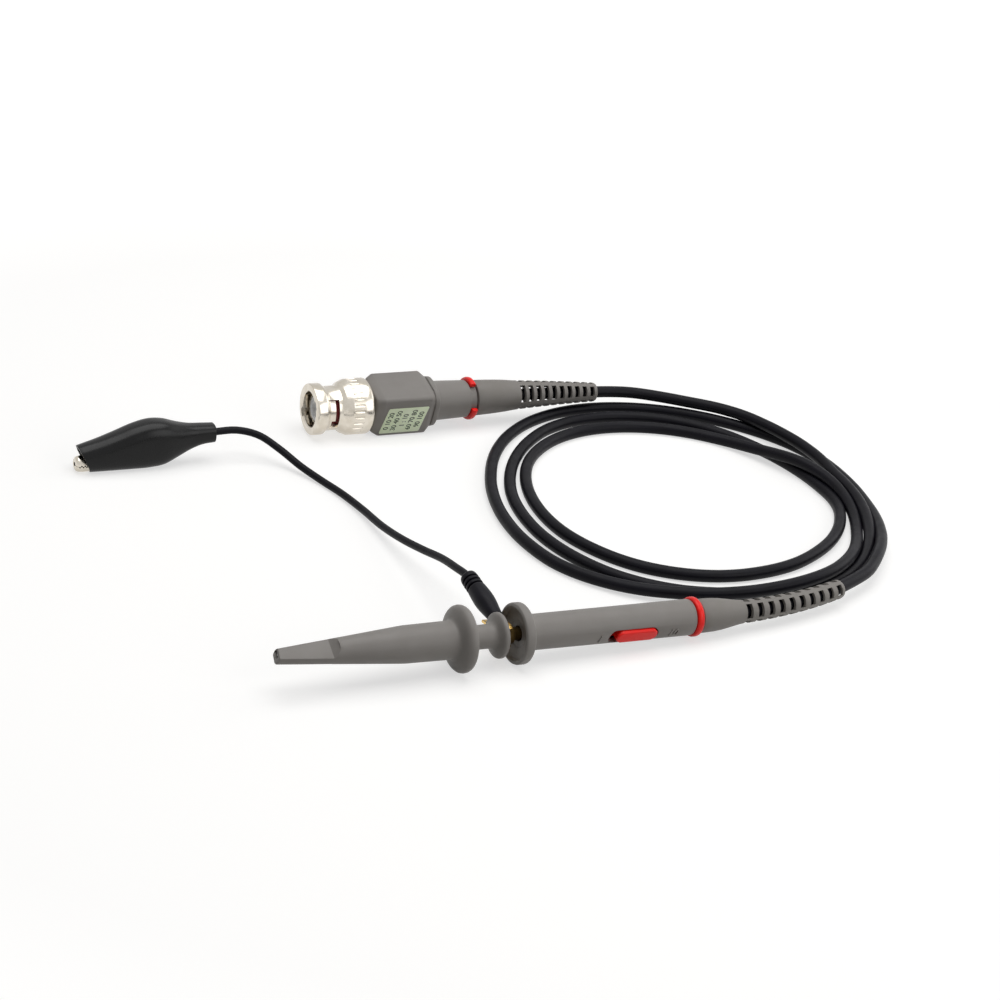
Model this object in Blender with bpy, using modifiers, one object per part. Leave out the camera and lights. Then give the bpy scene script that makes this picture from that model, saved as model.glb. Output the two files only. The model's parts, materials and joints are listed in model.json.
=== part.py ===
"""Oscilloscope probe: handpiece, coaxial cable, compensation box with bayonet plug, ground lead.

Sizes are in millimetres and are turned to metres by MM. The handpiece points its hook to -X.
Along the handpiece and along the plug, stations are measured from the guard's middle and from
the plug's front face, rearwards, and each turned piece is a profile of (station, radius).
"""

import math

import bmesh
import bpy
import numpy as np
from mathutils import Matrix, Vector

MM = 0.001

# Fits
gap = 0.3                     # between pieces that touch
running_gap = 0.3             # between pieces that slide or turn

# Handpiece
hand_tilt = 2.3               # degrees, cable end lower
switch_turn = 18.3            # degrees that the switch is turned below the near side
window_turn = -28.7           # degrees that the strain relief's side windows are turned up
nose_turn = -63.0             # degrees that the nose flats are turned up

sleeve_rear = -12.7           # station of the hook sleeve's rear face
sleeve_length = 48.3
sleeve_cone = 31.7            # length of the conical nose
sleeve_tip_radius = 1.75
sleeve_front_radius = 4.41
sleeve_radius = 4.58
sleeve_bore = 3.6
sleeve_lip = 1.8              # thickness of the rear lip that holds the carrier
sleeve_flange_radius = 8.05
sleeve_flange_depth = 4.9     # from the barrel's end to the rear face
sleeve_travel = 5.0
nose_flat = 1.25              # distance of each flat from the axis
nose_flat_length = 14.0
nose_slope = 12.0             # degrees, slant of the end face
chamber_radius = 3.1
chamber_depth = 25.1          # from the sleeve's rear face to the spring's front seat
chamber_step = 17.5           # where the wide bore ends
hook_wire_radius = 0.3
hook_bend_radius = 0.45
hook_slot_width = 1.2
hook_slot_depth = 2.4

carrier_radius = 2.9
carrier_bore = 1.9
carrier_front = -24.3
carrier_rear = -4.5
carrier_collar = 1.4          # thickness of the collar behind the sleeve's lip
carrier_wall = 1.5            # front wall, which grips the hook wire
carrier_flange_radius = 5.45
carrier_flange_rim = 0.9
carrier_flare = 1.9           # length of the bell before the rim
spring_wire_radius = 0.28
spring_radius = 2.45
spring_turns = 7

needle_radius = 0.45
needle_tip = -17.2
barrel_radius = 1.6           # ground barrel, brass
barrel_bore = 1.1
barrel_front = -13.0
barrel_rear = 6.5
collar_radius = 2.3
collar_front = -4.1
collar_rear = -1.0

guard_radius = 7.26
guard_front = -0.6
guard_thickness = 2.2
body_front_radius = 4.31
body_rear_radius = 4.47
body_rear = 50.4              # end of the seat of the colour ring
body_cavity_radius = 3.3
body_cavity_front = 3.0
body_cavity_rear = 46.5
ring_seat_radius = 3.6
ring_seat_length = 2.1
ring_radius = 4.93
ring_width = 1.8

slot_front = 23.65
slot_rear = 37.55
slot_width = 4.1
slider_length = 11.4
slider_height = 4.72          # top of the slider above the axis
slider_plate_width = 4.8
slider_plate_top = 1.75
slider_plate_depth = 0.6
slider_travel = 1.9

board_front = 8.0
board_rear = 39.5
board_width = 5.4
board_thickness = 0.8
board_top = -0.1
resistor_radius = 0.8
resistor_length = 5.0
resistor_front = 11.0
capacitor_size = (2.4, 1.6, 1.1)
capacitor_front = 18.5
blade_thickness = 0.2
blade_width = 1.6

# Strain reliefs and cable
cable_radius = 1.57
relief_bore = 1.87
hand_relief_front = 50.7
hand_relief_rear = 97.4
hand_relief_radius = 4.2
hand_relief_mid_radius = 2.95
hand_relief_end_radius = 2.33
hand_windows_start = 64.8
hand_window_pitch = 3.38
window_count = 10
notch_depth = 0.5             # of the notches between the ribs, above and below
notch_share = 0.45            # of the wall that a notch may take
hand_bend_start = 60.0
hand_bend = 16.2              # degrees
hand_bend_rise = 9.8          # degrees above level that the bend leans
ferrule_radius = 2.35
hand_ferrule_front = 41.5
hand_ferrule_length = 4.5
hand_cable_start = 41.0

# Cable coil
guard_ground = 5.25           # distance of the guard ahead of the origin along X
coil_centre = (90.15, 65.3)
coil_inner_radius = 40.6
coil_outer_radius = 58.6
coil_height = 6.0
coil_edge_height = 3.2        # height of the single outer turn
coil_crown = 8.0              # width of the top between the slopes

# Plug
plug_front = (7.05, 127.3)    # middle of the front face on the table
plug_yaw = -1.6
plug_height = 7.82            # the ribbed ring rests on the table
coupling_flange_radius = 7.2
coupling_flange = 2.7
coupling_neck_radius = 6.2
coupling_neck_end = 7.0
coupling_shoulder_radius = 7.35
coupling_grip_front = 10.2
coupling_grip_rear = 15.3
coupling_rear = 16.2
coupling_bore = 4.95
coupling_chamber = 5.5
coupling_chamber_front = 5.5
coupling_chamber_rear = 12.5
coupling_rear_bore = 4.5
rib_count = 36
rib_depth = 0.18
slot_station = 4.85
bayonet_slot_width = 1.25
bayonet_top = 45.0            # degrees above the near side
bayonet_lock = -25.5
channel_angle = 33.0
channel_width = 2.4
channel_radius = 5.75
shoulder_radius = 5.2
shoulder_front = 8.9
shoulder_rear = 10.4
journal_radius = 4.2
shell_tail_radius = 3.4
shell_rear = 19.3
contact_radius = 4.15
contact_wall = 0.4
contact_front = 0.9
contact_slots = 4
insulator_radius = 3.45
insulator_front = 1.2
insulator_rear = 13.0
insulator_cup_radius = 2.3
insulator_cup = 3.4
pin_radius = 0.68
pin_front = 2.6
pin_rear = 19.0
gasket_radius = 5.15
gasket_front = 5.7

# Compensation box
box_turn = 14.4               # degrees, near side lower
box_front = 16.8
box_side = 13.0
box_corner = 1.1
box_square_front = 18.9
box_square_rear = 33.0
box_rear = 34.7
box_collar_rear = 36.4
box_neck_radius = 5.7
box_neck_end_radius = 5.25
box_neck_rear = 46.7
box_seat_rear = 48.8
box_seat_radius = 4.4
box_wall = 1.3
box_ring_radius = 6.1
box_ring_opening = 70.0       # degrees
box_relief_front = 49.1
box_relief_rear = 88.6
box_relief_radius = 5.1
box_relief_mid_radius = 4.25
box_relief_end_radius = 2.8
box_windows_start = 63.75
box_window_pitch = 2.56
box_bend_start = 56.0
box_bend = 3.1
box_ferrule_front = 38.0
box_ferrule_length = 5.0
box_cable_start = 37.5
label_length = 12.2
label_height = 8.6
label_slant = 1.6
label_middle = 25.6
label_drop = 0.8              # below the middle of the box's near side
label_thickness = 0.15
trimmer_station = 26.0
trimmer_hole_radius = 1.6
trimmer_radius = 2.4
trimmer_height = 1.6
screw_radius = 1.15
screw_top = 6.1               # from the axis
comp_board_front = 19.6
comp_board_rear = 32.4
comp_board_width = 7.4
comp_board_thickness = 1.0
comp_board_top = 1.5

# Ground lead
contact_station = -2.9
contact_ring_wall = 0.5
contact_ring_width = 1.9
boot_rise = 9.4               # degrees that the boot points above level
boot_start = 6.0              # from the handpiece's axis
boot_length = 16.5
boot_radius = 2.45
boot_bore = 1.25
lead_radius = 0.95

# Crocodile clip
clip_tip = (-63.5, 118.0)
clip_pivot = (20.5, 6.2)      # behind the tip, above the table
clip_pin_radius = 0.6
lower_jaw_half = 1.9
lower_jaw_tail_half = 1.2
lower_jaw_sheet = 0.35
upper_jaw_half = 1.25
upper_jaw_sheet = 0.35
tooth_count = 6
tooth_pitch = 1.4
tooth_height = 0.6
clip_boot_wall = 0.7
clip_lead_height = 8.1
clip_crimp_front = 29.2
clip_crimp_length = 2.8

# Facets
fine_steps = 36
mid_steps = 24
small_steps = 12
relief_steps = 16


# ---------------------------------------------------------------- helpers


def clear_scene():
    for obj in list(bpy.data.objects):
        bpy.data.objects.remove(obj, do_unlink=True)


def make_collection(name):
    collection = bpy.data.collections.new(name)
    bpy.context.scene.collection.children.link(collection)
    return collection


def make_material(name, colour, roughness, metallic=0.0):
    material = bpy.data.materials.new(name)
    material.use_nodes = True
    shader = material.node_tree.nodes["Principled BSDF"]
    shader.inputs["Base Color"].default_value = (*colour, 1.0)
    shader.inputs["Roughness"].default_value = roughness
    shader.inputs["Metallic"].default_value = metallic
    material.diffuse_color = (*colour, 1.0)
    return material


def make_empty(name, location, rotation):
    empty = bpy.data.objects.new(name, None)
    empty.location = [value * MM for value in location]
    empty.rotation_euler = [math.radians(angle) for angle in rotation]
    empty.empty_display_size = 0.01
    parts.objects.link(empty)
    return empty


def place(obj, material, parent=None, turn=0.0):
    """Put a piece in the model; turn is about the parent's Z, in degrees."""
    if obj.name not in parts.objects:
        parts.objects.link(obj)
    obj.parent = parent
    if turn:
        obj.rotation_euler.z = math.radians(turn)
    if material:
        obj.data.materials.append(material)
    return obj


def area_of(outline):
    total = 0.0
    for (x0, y0), (x1, y1) in zip(outline, outline[1:] + outline[:1]):
        total += x0 * y1 - x1 * y0
    return total / 2


def turned(name, profile, steps):
    """A solid of revolution about Z from a closed profile of (station, radius)."""
    points = [(radius, station) for station, radius in profile]
    if area_of(points) > 0:
        points.reverse()
    on_axis = [index for index, point in enumerate(points) if point[0] == 0]
    mesh = bpy.data.meshes.new(name)
    edges = []
    for index in range(len(points)):
        following = (index + 1) % len(points)
        if not (index in on_axis and following in on_axis):
            edges.append((index, following))
    mesh.from_pydata([(x * MM, 0, z * MM) for x, z in points], edges, [])
    obj = bpy.data.objects.new(name, mesh)
    screw = obj.modifiers.new("Turn", "SCREW")
    screw.axis = "Z"
    screw.steps = steps
    screw.render_steps = steps
    screw.use_merge_vertices = True
    screw.merge_threshold = 0.000005
    screw.use_smooth_shade = True
    parts.objects.link(obj)
    return obj


def ring_profile(front, rear, inner, outer, edge=0.0):
    """A tube's section, with its outer edges broken by edge."""
    if not edge:
        return [(front, outer), (rear, outer), (rear, inner), (front, inner)]
    return [
        (front, outer - edge),
        (front + edge, outer),
        (rear - edge, outer),
        (rear, outer - edge),
        (rear, inner),
        (front, inner),
    ]


def outline_curve(name, outline, depth):
    """A flat outline in XY, extruded by depth about z = 0."""
    curve = bpy.data.curves.new(name, "CURVE")
    curve.dimensions = "2D"
    curve.fill_mode = "BOTH"
    curve.extrude = depth * MM / 2
    spline = curve.splines.new("POLY")
    spline.points.add(len(outline) - 1)
    for point, (x, y) in zip(spline.points, outline):
        point.co = (x * MM, y * MM, 0, 1)
    spline.use_cyclic_u = True
    return bpy.data.objects.new(name, curve)


def as_mesh(obj, name=None):
    """A mesh object from an evaluated object, its caps welded; the first object is removed."""
    parts.objects.link(obj) if obj.name not in parts.objects else None
    bpy.context.view_layer.update()
    graph = bpy.context.evaluated_depsgraph_get()
    mesh = bpy.data.meshes.new_from_object(obj.evaluated_get(graph))
    name = name or obj.name
    matrix = obj.matrix_world.copy()
    bpy.data.objects.remove(obj, do_unlink=True)
    cleaner = bmesh.new()
    cleaner.from_mesh(mesh)
    bmesh.ops.remove_doubles(cleaner, verts=cleaner.verts, dist=0.000005)
    bmesh.ops.recalc_face_normals(cleaner, faces=cleaner.faces)
    cleaner.to_mesh(mesh)
    cleaner.free()
    mesh.name = name
    solid = bpy.data.objects.new(name, mesh)
    solid.matrix_world = matrix
    parts.objects.link(solid)
    return solid


def prism(name, outline, low, high):
    """An outline in XY, closed between the heights low and high."""
    solid = as_mesh(outline_curve(name, outline, high - low))
    solid.data.transform(Matrix.Translation((0, 0, (low + high) * MM / 2)))
    return solid


def side_prism(name, outline, half_width):
    """An outline in XZ, closed between y = -half_width and half_width."""
    solid = prism(name, outline, -half_width, half_width)
    solid.data.transform(Matrix.Rotation(math.radians(90), 4, "X"))
    return solid


def box(name, low, high):
    mesh = bpy.data.meshes.new(name)
    shape = bmesh.new()
    bmesh.ops.create_cube(shape, size=1.0)
    for vertex in shape.verts:
        for axis in range(3):
            side = high[axis] if vertex.co[axis] > 0 else low[axis]
            vertex.co[axis] = side * MM
    shape.to_mesh(mesh)
    shape.free()
    obj = bpy.data.objects.new(name, mesh)
    parts.objects.link(obj)
    return obj


def loft(name, rings, closed=True):
    """A skin over rings of points in order; its ends are capped when closed."""
    mesh = bpy.data.meshes.new(name)
    shape = bmesh.new()
    rows = []
    for ring in rings:
        rows.append([shape.verts.new(Vector(point) * MM) for point in ring])
    for first, second in zip(rows, rows[1:]):
        count = len(first)
        for index in range(count):
            following = (index + 1) % count
            shape.faces.new((first[index], first[following], second[following], second[index]))
    if closed:
        shape.faces.new(list(reversed(rows[0])))
        shape.faces.new(rows[-1])
    bmesh.ops.recalc_face_normals(shape, faces=shape.faces)
    shape.to_mesh(mesh)
    shape.free()
    obj = bpy.data.objects.new(name, mesh)
    parts.objects.link(obj)
    return obj


def smooth_path(points, spacing):
    """Points at even spacing on a smooth curve through the given points."""
    points = np.array(points, float)
    steps = np.linalg.norm(np.diff(points, axis=0), axis=1) ** 0.5
    knots = np.concatenate([[0], np.cumsum(steps)])
    slopes = np.gradient(points, knots, axis=0)
    dense = []
    for index in range(len(points) - 1):
        span = knots[index + 1] - knots[index]
        for u in np.linspace(0, 1, 24, endpoint=False):
            start = (2 * u**3 - 3 * u**2 + 1) * points[index]
            leave = (u**3 - 2 * u**2 + u) * span * slopes[index]
            end = (3 * u**2 - 2 * u**3) * points[index + 1]
            arrive = (u**3 - u**2) * span * slopes[index + 1]
            dense.append(start + leave + end + arrive)
    dense.append(points[-1])
    dense = np.array(dense)
    lengths = np.linalg.norm(np.diff(dense, axis=0), axis=1)
    along = np.concatenate([[0], np.cumsum(lengths)])
    count = max(2, round(along[-1] / spacing) + 1)
    stations = np.linspace(0, along[-1], count)
    return [[np.interp(s, along, dense[:, axis]) for axis in range(3)] for s in stations]


def tube(name, points, radius, resolution=2):
    """A round tube along a polyline, in the parent's or the world's millimetres."""
    curve = bpy.data.curves.new(name, "CURVE")
    curve.dimensions = "3D"
    curve.bevel_depth = radius * MM
    curve.bevel_resolution = resolution
    curve.use_fill_caps = True
    spline = curve.splines.new("POLY")
    spline.points.add(len(points) - 1)
    for point, place_of in zip(spline.points, points):
        point.co = (*[value * MM for value in place_of], 1)
    obj = bpy.data.objects.new(name, curve)
    parts.objects.link(obj)
    return obj


def hide_cutter(cutter):
    parts.objects.unlink(cutter)
    cutters.objects.link(cutter)
    cutter.hide_render = True
    cutter.display_type = "WIRE"


def combine(obj, tool, operation, turn=None):
    """Cut or join obj with tool, which shares obj's parent and turn."""
    tool.parent = obj.parent
    tool.rotation_euler.z = obj.rotation_euler.z if turn is None else math.radians(turn)
    modifier = obj.modifiers.new(operation.title(), "BOOLEAN")
    modifier.operation = operation
    modifier.solver = "EXACT"
    modifier.object = tool
    hide_cutter(tool)
    return obj


def cut(obj, tool, turn=None):
    return combine(obj, tool, "DIFFERENCE", turn)


def join(obj, tool, turn=None):
    return combine(obj, tool, "UNION", turn)


def joined_tools(name, tools):
    """Several closed tools that don't meet, as one cutter."""
    shape = bmesh.new()
    for tool in tools:
        tool.data.transform(tool.matrix_world)
        shape.from_mesh(tool.data)
        bpy.data.objects.remove(tool, do_unlink=True)
    mesh = bpy.data.meshes.new(name)
    shape.to_mesh(mesh)
    shape.free()
    obj = bpy.data.objects.new(name, mesh)
    parts.objects.link(obj)
    return obj


def bend_along(point, start, end, angle, lean):
    """Where a point (x, y, station) goes when the axis behind start bends by angle (degrees).

    The bend leans towards the direction at lean degrees from +Y towards -X.
    """
    station = point[2]
    if station <= start or not angle:
        return Vector(point)
    total = math.radians(angle)
    radius = (end - start) / total
    turn = min(station - start, end - start) / radius
    beyond = max(0.0, station - end)
    side = Vector((-math.sin(math.radians(lean)), math.cos(math.radians(lean)), 0))
    forward = Vector((0, 0, 1))
    shift = Vector((point[0], point[1], 0))
    across = shift.dot(side)
    shift -= across * side
    ahead = forward * math.cos(turn) + side * math.sin(turn)
    outward = side * math.cos(turn) - forward * math.sin(turn)
    centre = forward * (start + radius * math.sin(turn)) + side * radius * (1 - math.cos(turn))
    return centre + ahead * beyond + outward * across + shift


def bent(obj, start, end, angle, lean):
    """Bend a finished straight piece; lean is measured in the parent's frame."""
    name, parent = obj.name, obj.parent
    local = Matrix.Rotation(obj.rotation_euler.z, 3, "Z")
    solid = as_mesh(obj, name)
    for vertex in solid.data.vertices:
        point = local @ (vertex.co / MM)
        vertex.co = bend_along(point, start, end, angle, lean) * MM
    solid.matrix_world = Matrix()
    solid.parent = parent
    return solid


def arc_points(radius, first, last, count):
    """Points of a circle's arc, in degrees, about the origin."""
    points = []
    for index in range(count):
        angle = math.radians(first + (last - first) * index / (count - 1))
        points.append((radius * math.cos(angle), radius * math.sin(angle)))
    return points


def sector(name, inner, outer, first, last, low, high):
    """A closed ring sector between two radii, two angles and two stations."""
    count = max(3, int(abs(last - first) / 8) + 2)
    outline = arc_points(outer, first, last, count)
    outline += list(reversed(arc_points(inner, first, last, count)))
    return prism(name, outline, low, high)


def near_side(angle):
    """The angle in a turned piece's XY plane of a direction above the near side."""
    return -90 - angle


def stadium(length, width, count=8):
    """A slot's outline along X, centred."""
    half = (length - width) / 2
    points = []
    for x, y in arc_points(width / 2, -90, 90, count):
        points.append((x + half, y))
    for x, y in arc_points(width / 2, 90, 270, count):
        points.append((x - half, y))
    return points


def rounded_square(half, corner, station, count=5):
    """A square ring of points with rounded corners at a station along Z."""
    points = []
    inset = half - corner
    centres = ((inset, inset), (-inset, inset), (-inset, -inset), (inset, -inset))
    for index, (x, y) in enumerate(centres):
        for px, py in arc_points(corner, 90 * index, 90 * index + 90, count):
            points.append((x + px, y + py, station))
    return points


def helix(radius, low, high, turns, per_turn=12):
    points = []
    count = int(turns * per_turn)
    for index in range(count + 1):
        angle = 2 * math.pi * index / per_turn
        height = low + (high - low) * index / count
        points.append((radius * math.cos(angle), radius * math.sin(angle), height))
    return points


# ---------------------------------------------------------------- scene

clear_scene()
parts = make_collection("oscilloscope_probe")
cutters = make_collection("cutters")

grey_abs = make_material("grey_abs", (0.18, 0.175, 0.17), 0.45)
grey_pvc = make_material("grey_pvc", (0.17, 0.165, 0.16), 0.5)
red_plastic = make_material("red_plastic", (0.72, 0.02, 0.015), 0.3)
black_pvc = make_material("black_pvc", (0.012, 0.011, 0.018), 0.35)
black_boot = make_material("black_boot", (0.008, 0.008, 0.009), 0.18)
nickel = make_material("nickel", (0.78, 0.75, 0.7), 0.15, 1.0)
spring_steel = make_material("spring_steel", (0.55, 0.55, 0.56), 0.3, 1.0)
brass = make_material("brass", (0.75, 0.55, 0.25), 0.25, 1.0)
white_ptfe = make_material("white_ptfe", (0.85, 0.86, 0.88), 0.35)
gasket_rubber = make_material("gasket_rubber", (0.25, 0.01, 0.01), 0.6)
board_green = make_material("board_green", (0.03, 0.2, 0.07), 0.4)
ceramic = make_material("ceramic", (0.55, 0.38, 0.2), 0.5)
label_film = make_material("label_film", (0.58, 0.75, 0.4), 0.4)

flange_height = sleeve_flange_radius * math.cos(math.radians(hand_tilt))
flange_station = sleeve_rear - 1.2
hand_height = flange_height + flange_station * math.sin(math.radians(hand_tilt))
hand_axis = make_empty("hand_axis", (guard_ground, 0, hand_height), (0, 90 + hand_tilt, 0))
plug_axis = make_empty("plug_axis", (*plug_front, plug_height), (0, 90, plug_yaw))
clip_frame = make_empty("clip_frame", (*clip_tip, 0), (0, 0, 0))


def on_axis(axis, point):
    """A point of an axis frame in the world's millimetres."""
    bpy.context.view_layer.update()
    return list(axis.matrix_world @ (Vector(point) * MM) / MM)


# ---------------------------------------------------------------- hook sleeve


def make_hook_sleeve():
    tip = sleeve_rear - sleeve_length
    cone_end = tip + sleeve_cone
    barrel_end = sleeve_rear - sleeve_flange_depth
    rim = sleeve_flange_radius
    seat = sleeve_rear - chamber_depth
    step = sleeve_rear - chamber_step
    wire_hole = hook_wire_radius + running_gap
    lip_bore = carrier_radius + running_gap
    profile = [
        (tip, sleeve_tip_radius - 0.25),
        (tip + 0.3, sleeve_tip_radius),
        (cone_end, sleeve_front_radius),
        (barrel_end, sleeve_radius),
        (barrel_end + 0.8, sleeve_radius + 0.5),
        (barrel_end + 1.6, rim - 2.0),
        (barrel_end + 2.3, rim - 0.8),
        (barrel_end + 3.0, rim - 0.15),
        (sleeve_rear - 1.2, rim),
        (sleeve_rear - 0.5, rim - 0.15),
        (sleeve_rear, rim - 0.7),
        (sleeve_rear, lip_bore),
        (sleeve_rear - sleeve_lip, lip_bore),
        (sleeve_rear - sleeve_lip, sleeve_bore),
        (step, sleeve_bore),
        (step - 0.5, chamber_radius),
        (seat, chamber_radius),
        (seat, wire_hole),
        (tip, wire_hole),
    ]
    sleeve = place(turned("hook_sleeve", profile, fine_steps), grey_abs, hand_axis, nose_turn)
    far = 2 * sleeve_radius
    runout = tip + nose_flat_length
    flats = []
    for side in (1, -1):
        outline = [
            (tip - 1, side * nose_flat),
            (runout, side * nose_flat),
            (runout + 1.8, side * far),
            (tip - 1, side * far),
        ]
        flat = side_prism("nose_flat_cutter", outline, far)
        flat.data.transform(Matrix.Rotation(math.radians(-90), 4, "Y"))
        flat.data.transform(Matrix.Rotation(math.radians(90), 4, "Z"))
        flats.append(flat)
    cut(sleeve, joined_tools("nose_flats_cutter", flats))
    slot = box(
        "hook_slot_cutter",
        (-hook_bend_radius - hook_slot_width, -hook_slot_width / 2, tip - 1),
        (hook_slot_width / 2, hook_slot_width / 2, tip + hook_slot_depth),
    )
    cut(sleeve, slot)
    slant = box("nose_end_cutter", (-far, -far, -far), (far, far, 0))
    slant.data.transform(Matrix.Rotation(math.radians(nose_slope), 4, "Y"))
    slant.data.transform(Matrix.Translation((0, 0, (tip + 0.35) * MM)))
    cut(sleeve, slant, turn=0)
    return sleeve


def make_hook_wire():
    tip = sleeve_rear - sleeve_length
    bend = tip + 1.5
    points = [(0, 0, carrier_front + carrier_wall + 3.0), (0, 0, carrier_front), (0, 0, bend)]
    for index in range(1, 7):
        angle = math.pi * index / 6
        x = -hook_bend_radius * (1 - math.cos(angle))
        points.append((x, 0, bend - hook_bend_radius * math.sin(angle)))
    points.append((-2 * hook_bend_radius, 0, bend + 0.5))
    return place(tube("hook_wire", points, hook_wire_radius), spring_steel, hand_axis, nose_turn)


def make_hook_spring():
    low = sleeve_rear - chamber_depth + gap + spring_wire_radius
    high = carrier_front - gap - spring_wire_radius
    points = helix(spring_radius, low, high, spring_turns)
    return place(tube("hook_spring", points, spring_wire_radius, 1), spring_steel, hand_axis)


def make_hook_carrier():
    flare = carrier_rear - carrier_flange_rim - carrier_flare
    rim = carrier_flange_radius
    collar_front_face = sleeve_rear - sleeve_lip - running_gap - carrier_collar
    collar = sleeve_bore - running_gap
    wall = carrier_front + carrier_wall
    profile = [
        (carrier_front, carrier_radius - 0.3),
        (carrier_front + 0.3, carrier_radius),
        (collar_front_face, carrier_radius),
        (collar_front_face, collar),
        (collar_front_face + carrier_collar, collar),
        (collar_front_face + carrier_collar, carrier_radius),
        (flare, carrier_radius),
        (flare + 0.45 * carrier_flare, carrier_radius + 0.25 * (rim - carrier_radius)),
        (flare + 0.8 * carrier_flare, carrier_radius + 0.7 * (rim - carrier_radius)),
        (carrier_rear - carrier_flange_rim, rim - 0.15),
        (carrier_rear - 0.5 * carrier_flange_rim, rim),
        (carrier_rear - 0.15, rim - 0.1),
        (carrier_rear, rim - 0.4),
        (carrier_rear, carrier_bore),
        (wall, carrier_bore),
        (wall, hook_wire_radius + gap),
        (carrier_front, hook_wire_radius + gap),
    ]
    return place(turned("hook_carrier", profile, mid_steps), grey_abs, hand_axis)


# ---------------------------------------------------------------- tip and barrel


def make_needle():
    profile = [
        (needle_tip, 0),
        (needle_tip + 1.6, needle_radius),
        (board_front - gap, needle_radius),
        (board_front - gap, 0),
    ]
    return place(turned("probe_needle", profile, small_steps), spring_steel, hand_axis)


def make_tip_insulator():
    front = barrel_front - 1.5
    inner = needle_radius + 0.1
    outer = barrel_bore - 0.1
    profile = ring_profile(front, barrel_rear, inner, outer)
    return place(turned("tip_insulator", profile, small_steps), white_ptfe, hand_axis)


def make_ground_barrel():
    profile = [
        (barrel_front, barrel_radius - 0.15),
        (barrel_front + 0.15, barrel_radius),
        (collar_front, barrel_radius),
        (collar_front, collar_radius),
        (collar_rear, collar_radius),
        (collar_rear, barrel_radius),
        (barrel_rear, barrel_radius),
        (barrel_rear, barrel_bore),
        (barrel_front, barrel_bore),
    ]
    return place(turned("ground_barrel", profile, mid_steps), brass, hand_axis)


# ---------------------------------------------------------------- probe body


def body_radius_at(station):
    share = (station - 5.2) / (body_rear - ring_seat_length - 5.2)
    return body_front_radius + share * (body_rear_radius - body_front_radius)


def make_probe_body():
    rear = guard_front + guard_thickness
    seat = body_rear - ring_seat_length
    profile = [
        (guard_front, guard_radius - 0.5),
        (guard_front + 0.2, guard_radius - 0.12),
        (guard_front + 0.6, guard_radius),
        (rear - 0.6, guard_radius),
        (rear - 0.15, guard_radius - 0.15),
        (rear, guard_radius - 0.55),
        (rear + 0.1, body_front_radius + 0.95),
        (rear + 1.4, body_front_radius + 0.35),
        (rear + 3.6, body_front_radius),
        (seat - 0.3, body_rear_radius),
        (seat, body_rear_radius - 0.2),
        (seat, ring_seat_radius),
        (body_rear, ring_seat_radius),
        (body_rear, ferrule_radius + gap),
        (body_cavity_rear, ferrule_radius + gap),
        (body_cavity_rear, body_cavity_radius),
        (body_cavity_front, body_cavity_radius),
        (body_cavity_front, barrel_radius + gap),
        (guard_front, barrel_radius + gap),
    ]
    body = place(turned("probe_body", profile, fine_steps), grey_abs, hand_axis, switch_turn)
    middle = (slot_front + slot_rear) / 2
    outline = stadium(slot_rear - slot_front, slot_width)
    slot = prism("switch_slot_cutter", outline, slider_plate_top, 3 * body_rear_radius)
    slot.data.transform(along_switch(middle))
    cut(body, slot)
    return body


def along_switch(station):
    """X becomes the axis, Z points out through the switch, and the origin sits at a station."""
    turn = Matrix(((0, -1, 0), (0, 0, -1), (1, 0, 0)))
    return Matrix.Translation((0, 0, station * MM)) @ turn.to_4x4()


def make_switch():
    rear = slot_rear - running_gap
    middle = rear - slider_length / 2
    width = slot_width - 2 * running_gap
    top = prism("switch_slider", stadium(slider_length, width), slider_plate_top - 0.3, slider_height)
    bevel = top.modifiers.new("Edge", "BEVEL")
    bevel.width = 0.35 * MM
    bevel.segments = 2
    bevel.limit_method = "ANGLE"
    bevel.angle_limit = math.radians(50)
    top.data.transform(along_switch(middle))
    slider = place(top, red_plastic, hand_axis, switch_turn)
    plate_half = slider_length / 2 + 1.2
    plate = box(
        "slider_plate_tool",
        (-plate_half, -slider_plate_width / 2, slider_plate_top - slider_plate_depth),
        (plate_half, slider_plate_width / 2, slider_plate_top),
    )
    plate.data.transform(along_switch(middle))
    join(slider, plate)

    low = board_top + gap
    high = slider_plate_top - slider_plate_depth - gap - blade_thickness
    heights = (high, high, low, low, high, high)
    stations = (-4.6, -3.2, -1.9, -1.1, 1.6, 4.6)
    mesh = bpy.data.meshes.new("switch_contact")
    strip = bmesh.new()
    rows = []
    for station, height in zip(stations, heights):
        row = [strip.verts.new(Vector((station, side * blade_width / 2, height)) * MM) for side in (-1, 1)]
        rows.append(row)
    for first, second in zip(rows, rows[1:]):
        strip.faces.new((first[0], second[0], second[1], first[1]))
    bmesh.ops.recalc_face_normals(strip, faces=strip.faces)
    strip.to_mesh(mesh)
    strip.free()
    blade = bpy.data.objects.new("switch_contact", mesh)
    blade.data.transform(along_switch(middle))
    thicken = blade.modifiers.new("Sheet", "SOLIDIFY")
    thicken.thickness = blade_thickness * MM
    thicken.offset = 0
    place(blade, brass, hand_axis, switch_turn)


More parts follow.
